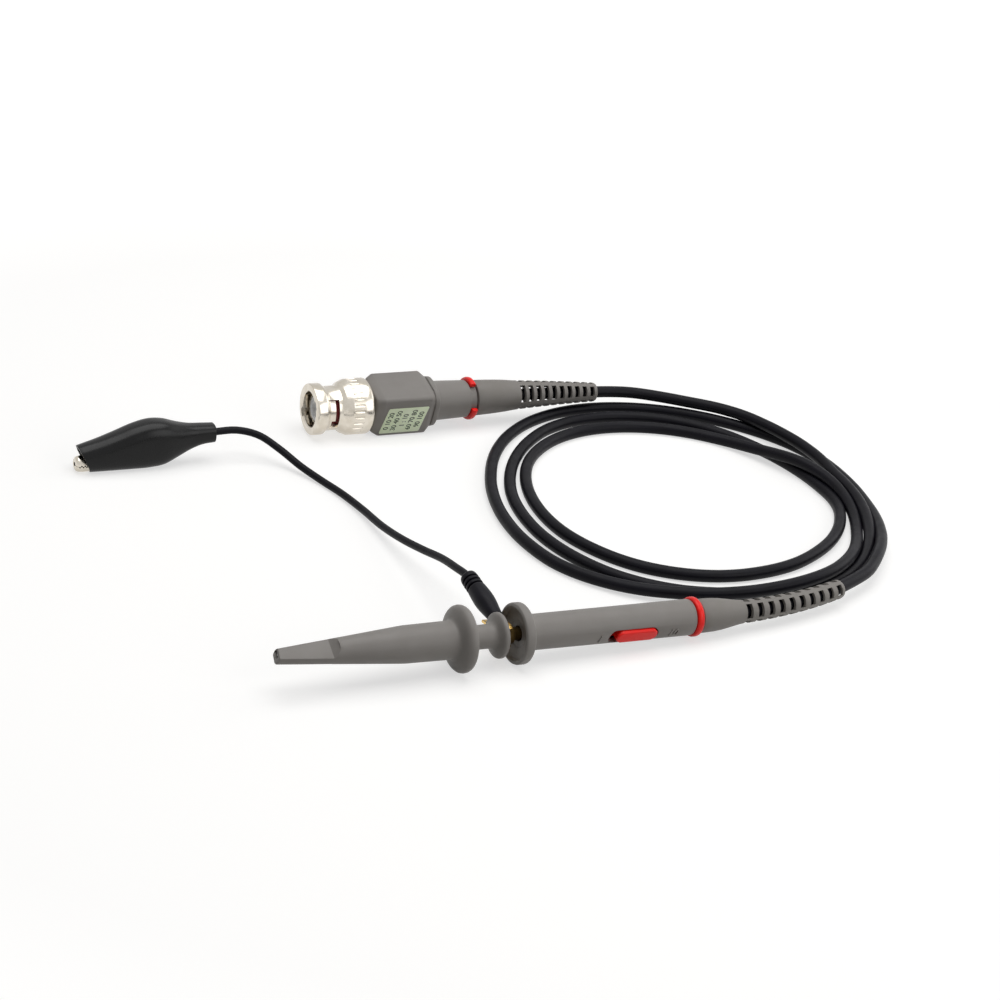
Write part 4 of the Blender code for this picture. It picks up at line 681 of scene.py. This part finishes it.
spring = {"front": -37.2, "rear": -24.9, "radius": 2.45, "wire": 0.28, "turns": 7, "flatTurns": 0.75, "steps": 24,
          "travel": 5.0}
coils = []
rising = spring["rear"] - spring["front"] - 2 * spring["wire"]
for i in range(spring["turns"] * spring["steps"] + 1):
    t = i / spring["steps"]
    eased = min(1.0, max(0.0, (t - spring["flatTurns"]) / (spring["turns"] - 2 * spring["flatTurns"])))
    coils.append((spring["radius"] * math.cos(2 * math.pi * t), spring["radius"] * math.sin(2 * math.pi * t),
                  spring["front"] + spring["wire"] + rising * eased))
noseSpring = pullCord("noseSpring", coils, spring["wire"], 4)
pick(noseSpring)
bpy.ops.object.convert(target="MESH")
noseSpring = bpy.context.object
seat(noseSpring, handSpot, "drawnSteel", "probe", ["hook_spring"])
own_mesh(noseSpring)

slideTube = turnPiece("slideTube", [
    (-24.3, 2.6), (-24.0, 2.9), (-16.2, 2.9), (-16.2, 3.3), (-14.8, 3.3), (-14.8, 2.9), (-7.8, 2.9), (-7.0, 2.95),
    (-6.5, 3.1), (-6.1, 3.42), (-5.8, 3.9), (-5.5, 4.55), (-5.22, 5.08), (-4.98, 5.38), (-4.7, 5.48), (-4.15, 5.48),
    (-4.0, 5.36), (-3.95, 5.1), (-3.95, 4.4), (-4.2, 3.6), (-4.2, 1.9), (-22.8, 1.9), (-22.8, 0.6), (-24.3, 0.6)])
roundEdges(slideTube, 0.08)
seat(slideTube, handSpot, "mouldedAbs", "probe", ["hook_carrier"])
groundBarrel = turnPiece("groundBarrel", [
    (-13.0, 1.45), (-12.8, 1.6), (-3.9, 1.6), (-3.9, 2.2), (-3.8, 2.3), (-1.1, 2.3), (-1.0, 2.2), (-1.0, 1.6),
    (6.5, 1.6), (6.5, 1.1), (-13.0, 1.1)], 64)
# the ground barrel takes the brass darkened as painted shade
seat(groundBarrel, handSpot, "brassPaintedShade", "probe", ["ground_barrel"])
print("the nose is built")


# the barrel with its guard, the switch and the board behind it

barrel = {
    "turn": 18.3,   # degrees that the switch looks down from the near side
    "guard": [(-0.6, 6.55), (-0.52, 6.9), (-0.3, 7.24), (0.05, 7.38), (1.4, 7.38), (1.7, 7.3), (1.9, 7.1),
              (1.95, 6.7)],
    "fillet": [(1.95, 5.5), (2.05, 5.2), (2.35, 4.92), (2.8, 4.7), (3.4, 4.52), (4.2, 4.38), (5.4, 4.31)],
    "body": [(26, 4.388), (47.9, 4.47), (48.2, 4.4), (48.3, 4.22), (48.3, 3.6), (50.4, 3.6)],
    "bore": [(50.4, 2.65), (46.5, 2.65), (46.5, 3.3), (3.0, 3.3), (3.0, 1.9), (0.9, 1.9), (0.9, 3.2), (0.6, 3.7),
             (0.4, 6.0), (-0.5, 6.4)],
    "slotMiddle": 30.6, "slotLength": 13.9, "slotWidth": 4.1, "slotFloor": 1.75,
}
gripBarrel = turnPiece("gripBarrel", barrel["guard"] + barrel["fillet"] + barrel["body"] + barrel["bore"], 128)
slotCut = prismFrom("slotCut", stadiumOutline(barrel["slotMiddle"], barrel["slotLength"], barrel["slotWidth"]),
                    barrel["slotFloor"], 9)
lay(slotCut, outwards)
combine(gripBarrel, slotCut, "DIFFERENCE")
roundEdges(gripBarrel, 0.1, 2, 30)
seat(gripBarrel, handSpot, "mouldedAbs", "probe", ["probe_body"], barrel["turn"], 28)

slider = {"middle": 31.55, "length": 11.4, "width": 3.5, "base": 1.45, "top": 4.72, "edge": 0.45,
          "plateReach": 6.9, "plateHalf": 2.4, "plateLow": 1.15, "plateHigh": 1.72}
sliderCap = prismFrom("sliderCap", stadiumOutline(slider["middle"], slider["length"], slider["width"], 16),
                      slider["base"], slider["top"])
roundEdges(sliderCap, slider["edge"], 4, 60)
plate = block("sliderPlate", (slider["middle"] - slider["plateReach"], -slider["plateHalf"], slider["plateLow"]),
              (slider["middle"] + slider["plateReach"], slider["plateHalf"], slider["plateHigh"]))
combine(sliderCap, plate, "UNION")
lay(sliderCap, outwards)
seat(sliderCap, handSpot, "redMoulding", "switch", ["switch_slider"], barrel["turn"])

# the marks beside the switch are plain numbers, raised and slanted, wrapped round the barrel
marks = {"height": 1.9, "thick": 0.4, "rise": 0.2, "slant": 0.25, "barrel": (5.4, 4.31, 0.00375),
         "places": (("markOne", "1", 21.1), ("markTen", "10", 41.6))}
start, thinnest, taper = marks["barrel"]
for markName, figures, station in marks["places"]:
    mark = writeNumbers(markName, figures, marks["height"], marks["thick"], marks["slant"])
    radius = thinnest + (station - start) * taper
    for vertex in mark.data.vertices:
        along, around, out = vertex.co / mm
        turn = around / radius
        reach = radius + marks["rise"] - marks["thick"] / 2 + out
        vertex.co = Vector((station + along, reach * math.sin(turn), reach * math.cos(turn))) * mm
    lay(mark, outwards)
    seat(mark, handSpot, "mouldedAbs", "probe", (), barrel["turn"])

handRing = turnPiece("handRing", [
    (48.45, 3.9), (48.45, 4.35), (48.5, 4.6), (48.68, 4.8), (48.95, 4.9), (49.35, 4.93), (49.75, 4.9), (50.02, 4.8),
    (50.2, 4.6), (50.25, 4.35), (50.25, 3.9)])
seat(handRing, handSpot, "redMoulding", "probe", ["hand_colour_ring"])
print("the barrel is built")


# the two strain reliefs: one ladder of windows, cut before the relief is bent

ladder = {"count": 10, "notch": 0.7, "notchShare": 0.6}   # windows, and the notches above and below them
reliefs = {
    "handRelief": {
        "replaces": "hand_strain_relief", "spot": handSpot, "turn": -28.7, "bend": handBend,
        "outer": [(50.7, 3.9), (50.75, 4.08), (50.95, 4.19), (53.0, 4.19), (55.3, 4.12), (57.2, 3.93), (59.1, 3.65),
                  (61.2, 3.3), (62.6, 3.07), (63.8, 2.95)],
        "tail": [(96.5, 2.5), (97.1, 2.4), (97.4, 2.15)], "ringStep": 1.1, "bore": (1.95, 1.87),
        "first": 64.8, "pitch": 3.38, "gap": 1.75, "half": (1.8, 1.35), "skin": (2.95, 2.5),
    },
    "boxRelief": {
        "replaces": "box_strain_relief", "spot": plugSpot, "turn": -28.7, "bend": boxBend,
        "outer": [(49.1, 4.85), (49.15, 4.98), (49.35, 5.08), (51.5, 5.02), (53.6, 4.93), (56.4, 4.78), (59.1, 4.58),
                  (62.15, 4.25)],
        "tail": [(87.9, 2.8), (88.35, 2.72), (88.6, 2.55)], "ringStep": 1.0, "bore": (3.1, 1.87),
        "first": 63.75, "pitch": 2.56, "gap": 1.5, "half": (2.4, 1.35), "skin": (4.25, 2.8),
    },
}


def untwist(bend, turn):
    # the bend's side, as seen from a piece that is still unturned
    return dict(bend, lean=bend["lean"] - turn)


reliefPieces = {}
for reliefName, relief in reliefs.items():
    (s0, r0), (s1, r1) = relief["outer"][-1], relief["tail"][0]
    count = round((s1 - s0) / relief["ringStep"])
    between = [(s0 + (s1 - s0) * i / count, r0 + (r1 - r0) * i / count) for i in range(1, count)]
    wide, narrow = relief["bore"]
    inner = [(s, wide + (narrow - wide) * min(1, max(0, (s - s0) / (s1 - s0))))
             for s, _ in relief["outer"] + between + relief["tail"]][::-1]
    sleeve = turnPiece(reliefName, relief["outer"] + between + relief["tail"] + inner, 72)
    cuts = []
    for k in range(ladder["count"]):
        share = k / (ladder["count"] - 1)
        half, skin = (a + (b - a) * share for a, b in (relief["half"], relief["skin"]))
        middle = relief["first"] + relief["pitch"] * k
        low, high = middle - relief["gap"] / 2, middle + relief["gap"] / 2
        bore = wide + (narrow - wide) * (middle - s0) / (s1 - s0)
        depth = skin - min(ladder["notch"], ladder["notchShare"] * (skin - bore))
        cuts.append(block("window", (-half, -7, low), (half, 7, high)))
        cuts.append(block("notch", (depth, -7, low), (7, 7, high)))
        cuts.append(block("notch", (-7, -7, low), (-depth, 7, high)))
    combine(sleeve, gather(cuts), "DIFFERENCE")
    roundEdges(sleeve, 0.14, 2, 40)
    bendMesh(sleeve, untwist(relief["bend"], relief["turn"]))
    seat(sleeve, relief["spot"], "softPvc", "probe", [relief["replaces"]], relief["turn"], 32)
    reliefPieces[reliefName] = sleeve
print("the strain reliefs are built")


# the compensation box, its label, ring and trimmer

box = {
    "turn": 14.4,   # degrees that the label looks down from the near side
    # station, half width, corner radius
    "sections": [(16.8, 5.1, 1.4), (16.85, 5.4, 1.4), (17.05, 5.65, 1.35), (17.3, 5.82, 1.3), (18.7, 6.42, 1.1),
                 (19.1, 6.5, 1.1), (32.8, 6.5, 1.1), (33.15, 6.43, 1.3), (34.5, 5.76, 2.5), (34.72, 5.62, 3.0),
                 (34.78, 6.04, 3.75), (35.1, 6.1, 3.8), (36.0, 6.08, 4.0), (36.28, 5.95, 4.8), (36.32, 5.64, 5.639),
                 (46.5, 5.26, 5.259), (46.7, 5.05, 5.049), (46.72, 4.4, 4.399), (48.8, 4.4, 4.399)],
    "half": 6.5, "corner": 1.1,
    "cavityHalf": 5.2, "cavity": (18.3, 33.0), "mouth": (3.7, 15, 19), "neckBore": (2.65, 32, 50),
    "trimmerHole": 1.6, "trimmerStation": 26.0,
}
straight, corners = box["half"] - box["corner"], 8
directions = []
for quarter in range(4):
    for i in range(16):
        directions.append(math.atan2(straight * (-1 + i / 8), box["half"]) + quarter * math.pi / 2)
    for i in range(corners):
        t = math.radians(90 * i / corners)
        across, along = straight + box["corner"] * math.sin(t), straight + box["corner"] * math.cos(t)
        directions.append(math.atan2(across, along) + quarter * math.pi / 2)


def roundedSquare(direction, section):
    reach = squareReach(direction, section[1], section[2])
    return reach * math.cos(direction), reach * math.sin(direction)


compBox = skinSections("compBox", box["sections"], directions, roundedSquare)
hollow = block("cavity", (-box["cavityHalf"], -box["cavityHalf"], box["cavity"][0]),
               (box["cavityHalf"], box["cavityHalf"], box["cavity"][1]))
roundEdges(hollow, 0.5, 2)
combine(compBox, hollow, "DIFFERENCE")
station = box["trimmerStation"]
for tool in (rod(48, *box["mouth"]), rod(48, *box["neckBore"]),
             rod(40, box["trimmerHole"], station - 2, station + 2, y=6.0, tilt=90)):
    applyPlace(tool)
    combine(compBox, tool, "DIFFERENCE")
roundEdges(compBox, 0.08, 2, 50)
seat(compBox, plugSpot, "mouldedAbs", "probe", ["box_housing"], box["turn"], 30)

label = {"middle": 25.6, "below": 0.8, "length": 12.2, "height": 8.6, "slant": 1.6, "low": 6.52, "high": 6.67,
         "corner": 0.5, "rows": ("0 10 20", "30 40 50", "1 : 10", "60 70 80", "90 100"), "figure": 1.35, "pitch": 2.3,
         "ink": 0.02, "widen": 1.06}


def roundedOutline(points, corner):
    outline = []
    for i, here in enumerate(points):
        here, before, after = Vector(here), Vector(points[i - 1]), Vector(points[(i + 1) % len(points)])
        start = here + (before - here).normalized() * corner
        end = here + (after - here).normalized() * corner
        for t in (0, 0.2, 0.4, 0.6, 0.8, 1):
            outline.append(tuple(start * (1 - t) ** 2 + here * 2 * t * (1 - t) + end * t**2))
    return outline


halfLong, halfHigh = label["length"] / 2, label["height"] / 2
lean = label["slant"] / 2
plan = [(-halfLong - lean, -halfHigh), (halfLong - lean, -halfHigh), (halfLong + lean, halfHigh),
        (-halfLong + lean, halfHigh)]
plan = [(x + label["middle"], y - label["below"]) for x, y in plan]
labelFilm = prismFrom("labelFilm", roundedOutline(plan, label["corner"]), label["low"], label["high"])
roundEdges(labelFilm, 0.03, 2, 60)
lay(labelFilm, outwards)
seat(labelFilm, plugSpot, "labelFilm", "probe", ["box_label"], box["turn"])
rows = []
for index, figures in enumerate(label["rows"]):
    row = writeNumbers("labelRow", figures, label["figure"], 0.03)
    row.data.transform(Matrix.Scale(label["widen"], 4, (1, 0, 0)) @ Matrix.Rotation(math.radians(90), 4, "Z"))
    shift = (index - (len(label["rows"]) - 1) / 2) * label["pitch"]
    for vertex in row.data.vertices:
        vertex.co.x += vertex.co.y * label["slant"] / label["height"] + (label["middle"] + shift) * mm
        vertex.co.y -= label["below"] * mm
        vertex.co.z = (label["high"] + math.copysign(label["ink"], vertex.co.z)) * mm
    rows.append(row)
labelRows = gather(rows)
labelRows.name = "labelRows"
lay(labelRows, outwards)
seat(labelRows, plugSpot, "labelInk", "probe", (), box["turn"])

boxRing = turnPiece("boxRing", [
    (46.85, 4.7), (46.85, 5.5), (46.92, 5.78), (47.12, 5.98), (47.4, 6.08), (47.75, 6.1), (48.1, 6.08), (48.38, 5.98),
    (48.58, 5.78), (48.65, 5.5), (48.65, 4.7)])
combine(boxRing, sectorTool("ringGap", 0.5, 9, 46, 50, -11.3, 64.7), "DIFFERENCE")
roundEdges(boxRing, 0.25, 3, 50)
seat(boxRing, plugSpot, "redMoulding", "probe", ["box_colour_ring"])

trimmerScrew = turnPiece("trimmerScrewHead", [(2.9, 1.15), (5.85, 1.15), (6.0, 1.08), (6.1, 0.95)], 40, False)
pick(trimmerScrew)
bpy.ops.object.mode_set(mode="EDIT")
selectRims()
bpy.ops.mesh.edge_face_add()
closeMesh()
screwSlot = block("screwSlot", (-2, -0.2, 5.4), (2, 0.2, 7), 35)
combine(trimmerScrew, screwSlot, "DIFFERENCE")
roundEdges(trimmerScrew, 0.05, 2, 50)
turnMesh(trimmerScrew, -90, "X")
shiftMesh(trimmerScrew, (0, 0, box["trimmerStation"]))
seat(trimmerScrew, plugSpot, "turnedBrass", "trimmer", ["trimmer_screw"], box["turn"])
print("the box is built")


# the BNC plug: coupling with two bayonet slots, and what shows in its mouth

bnc = {
    "outer": [(-0.8, 6.75), (-0.72, 6.98), (-0.5, 7.15), (-0.2, 7.2), (2.0, 7.2), (2.25, 7.12), (3.15, 6.3),
              (3.45, 6.2), (6.9, 6.2), (7.15, 6.28), (7.8, 6.95), (8.1, 7.15), (9.0, 7.5), (9.4, 7.72), (9.75, 7.82),
              (13.0, 7.82), (13.2, 7.87), (15.2, 7.87), (15.5, 7.77), (15.95, 7.3), (16.15, 7.05), (16.2, 6.8)],
    "bore": [(16.2, 4.5), (12.5, 4.5), (12.5, 5.5), (5.5, 5.5), (5.5, 4.95), (-0.45, 4.95), (-0.8, 5.25)],
    "slot": (4.85, 6.0, 45, -25.5), "lock": (3.8, 6.0, -12, -35), "lip": (2.9, 5.0, 45, 42),
    "channel": (5.425, 33, 12, 5.75),
    "ribs": 28, "rib": (0.4, 9.9, 12.85), "grooveMiddle": 8.0,
}
coupling = turnPiece("bncCoupling", bnc["outer"] + bnc["bore"], 144)
cuts = []
for k in range(bnc["ribs"]):
    turn = 2 * math.pi * k / bnc["ribs"]
    cuts.append(rod(12, *bnc["rib"], bnc["grooveMiddle"] * math.cos(turn), bnc["grooveMiddle"] * math.sin(turn)))
ribCuts = gather(cuts)
applyPlace(ribCuts)
combine(coupling, ribCuts, "DIFFERENCE")
roundEdges(coupling, 0.05, 2, 45)
for half in (0, 180):
    for cutName in ("slot", "lock", "lip"):
        low, high, first, last = bnc[cutName]
        combine(coupling, sectorTool(cutName, 4.15, 8, low, high, first + half, last + half), "DIFFERENCE")
    high, middle, reach, outer = bnc["channel"]
    combine(coupling, sectorTool("channelCut", 4.15, outer, -1, high, middle - reach + half, middle + reach + half),
            "DIFFERENCE")
seat(coupling, plugSpot, "brightNickel", "coupling", ["bnc_coupling"], 0.0, 32)

contact = turnPiece("outerContact", [(0.9, 3.85), (1.05, 4.08), (1.4, 4.15), (8.6, 4.15), (8.6, 3.75), (0.9, 3.75)], 96)
for spin in (20, 110, 65, 155):
    combine(contact, block("contactSlot", (-6, -0.2, 0), (6, 0.2, 6.4), spin), "DIFFERENCE")
seat(contact, plugSpot, "brightNickel", "probe", ["bnc_contact_sleeve"])
core = turnPiece("plugInsulator", [
    (1.0, 2.6), (1.0, 3.4), (1.15, 3.56), (1.5, 3.62), (13.0, 3.62), (13.0, 0.98), (2.3, 0.98), (2.2, 1.1), (2.2, 2.1),
    (2.05, 2.25), (1.15, 2.35)], 96)
seat(core, plugSpot, "whitePtfe", "probe", ["bnc_insulator"])
gasket = turnPiece("plugGasket", [
    (4.3, 4.35), (4.4, 4.3), (8.3, 4.3), (8.55, 4.5), (8.55, 5.0), (8.35, 5.15), (5.95, 5.15), (5.75, 5.0),
    (5.75, 4.82), (4.4, 4.82), (4.3, 4.75)], 72)
seat(gasket, plugSpot, "siliconeGasket", "probe", ["bnc_gasket"])
print("the plug is built")


# the ground lead's boot and the soft boot of the clip

bootSpot = Matrix.Translation(collarMiddle * mm) @ Matrix.Rotation(-math.pi / 2 + rise, 4, "X")
bootSkin = [(6.0, 1.45), (6.1, 1.62), (6.4, 1.76), (8.5, 2.02), (10.0, 2.24), (11.5, 2.42), (12.8, 2.5), (14.0, 2.5),
            (15.5, 2.42), (17.0, 2.3)]
for station in (17.5, 18.85, 20.2):   # three grooves between the collars at the lead's end
    bootSkin += [(station, 2.24), (station + 0.05, 1.68), (station + 0.6, 1.68), (station + 0.65, 2.2)]
bootSkin += [(21.9, 2.12), (22.3, 2.0), (22.5, 1.75), (22.5, 1.25), (6.0, 1.25)]
leadBoot = turnPiece("leadBoot", bootSkin, 72)
roundEdges(leadBoot, 0.1, 2, 40)
seat(leadBoot, bootSpot, "mouldedBoot", "probe", ["lead_boot"])

clip = {
    # distance from the tip, lowest and highest point, half width
    "sections": ((-2, 0, 6.3, 3.3), (2, 0, 7.6, 3.6), (6, 0, 8.7, 3.9), (11, 0, 10.4, 4.2), (16, 0, 12.2, 4.4),
                 (20.5, 0.1, 13.1, 4.5), (24, 0.6, 12.8, 4.4), (28, 2.5, 11.6, 3.7), (31.5, 4.2, 10.9, 3.0),
                 (34.5, 5.2, 10.7, 2.7), (38.2, 5.55, 10.5, 2.5)),
    "wall": 0.7, "points": 72, "rings": 44,
    "power": (2.15, 2.8), "powerFrom": 2, "powerOver": 16,   # the section is rounder at the mouth
    "mouthPoint": (2.2, 0, 3.8), "mouthNormal": (-0.91, 0, -0.42),
    "bendFrom": (-0.030, 0.118, 0.006), "bendTo": (-0.052, 0.118, 0.011),   # metres
}
shape = np.array(clip["sections"], float)
spread = np.linspace(shape[0, 0], shape[-1, 0], clip["rings"])
slopes = np.gradient(shape, shape[:, 0], axis=0)


def clipSection(x):
    i = int(np.clip(np.searchsorted(shape[:, 0], x) - 1, 0, len(shape) - 2))
    span = shape[i + 1, 0] - shape[i, 0]
    return cubic((x - shape[i, 0]) / span, shape[i], shape[i + 1], span * slopes[i], span * slopes[i + 1])


def bootReach(direction, section):
    _, low, high, half = section
    early, late = clip["power"]
    share = min(1.0, max(0.0, (section[0] - clip["powerFrom"]) / clip["powerOver"]))
    power = 2 / (early + (late - early) * share)
    x, y = math.cos(direction), math.sin(direction)
    tall = (high - low) / 2
    return (half * math.copysign(abs(x) ** power, x), (low + high) / 2 + tall * math.copysign(abs(y) ** power, y))


even = [2 * math.pi * (i + 0.5) / clip["points"] for i in range(clip["points"])]
clipBoot = skinSections("clipBoot", [tuple(clipSection(x)) for x in spread], even, bootReach, False)
# its x and y are across and up, and its stations run away from the tip
lay(clipBoot, sideways)
pick(clipBoot)
bpy.ops.object.mode_set(mode="EDIT")
bpy.ops.mesh.select_all(action="SELECT")
bpy.ops.mesh.bisect(plane_co=Vector(clip["mouthPoint"]) * mm, plane_no=clip["mouthNormal"], clear_outer=True)
closeMesh()
wall = clipBoot.modifiers.new("Wall", "SOLIDIFY")
wall.thickness = clip["wall"] * mm
wall.offset = -1
wall.use_even_offset = True
bpy.ops.object.modifier_apply(modifier=wall.name)
roundEdges(clipBoot, 0.18, 3, 50)
seat(clipBoot, clipSpot, "dippedVinyl", None, ["clip_boot"], 0.0, 40)

# the two jaws meet as a short round nose with teeth; only their front shows
jaw = {"middle": 2.25,
       "rings": [(0.1, 1.2), (0.16, 1.55), (0.4, 1.88), (0.9, 2.08), (2.0, 2.2), (5.0, 2.24), (13.0, 2.3)],
       "bore": [(13.0, 1.75), (3.0, 1.7), (1.4, 1.55), (0.8, 1.1), (0.45, 0.62), (0.1, 0.55)], "gap": 0.09,
       "teeth": 6, "firstTooth": 0.75, "tooth": 0.9, "notchLong": 0.405, "notchDeep": 0.3}
for jawName, side, body, node in (("lowerJaw", -1, "probe", "clip_lower_jaw"),
                                  ("upperJaw", 1, "upper_jaw", "clip_upper_jaw")):
    piece = turnPiece(jawName, jaw["rings"] + jaw["bore"], 64)
    lay(piece, sideways)
    edge = side * jaw["gap"] / 2
    low, high = sorted((-side * 5, edge))   # the other jaw's half
    combine(piece, block("otherHalf", (-1, -4, low), (15, 4, high)), "DIFFERENCE")
    notches = []
    for k in range(jaw["teeth"]):
        front = jaw["firstTooth"] + (k + 0.5 * (side > 0)) * jaw["tooth"]
        notches.append(block("notch", (front, -4, edge - jaw["notchDeep"]),
                             (front + jaw["notchLong"], 4, edge + jaw["notchDeep"])))
    combine(piece, gather(notches), "DIFFERENCE")
    roundEdges(piece, 0.06, 2, 40)
    shiftMesh(piece, (0, 0, jaw["middle"]))
    seat(piece, clipSpot, "brightNickel", body, [node])
print("the boots are built")


# CAD nodes that keep their shape and take a finish

nodeFinish = {
    "grey_abs": "mouldedAbs", "grey_pvc": "softPvc", "red_plastic": "redMoulding", "black_pvc": "mouldedBoot",
    "black_boot": "dippedVinyl", "nickel": "brightNickel", "spring_steel": "drawnSteel", "brass": "turnedBrass",
    "white_ptfe": "whitePtfe", "gasket_rubber": "siliconeGasket", "board_green": "solderMask",
    "ceramic": "glazedCeramic", "label_film": "labelFilm",
}
for part in frame["record"]["subparts"]:
    node = frame["nodes"][part["node"]]
    node.data.materials.clear()
    node.data.materials.append(paint[nodeFinish[part["material_slot"]]])
print("the frame's own pieces are painted")

onTheCable = [compBox, reliefPieces["boxRelief"], boxRing, labelFilm, labelRows, coupling, contact, core, gasket,
              trimmerScrew]
onTheCable += [frame["nodes"][n] for n in ("bnc_shell", "bnc_pin", "bnc_washer", "trimmer_body", "comp_board",
                                           "box_ferrule")]
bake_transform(clipBoot)

low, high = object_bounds()
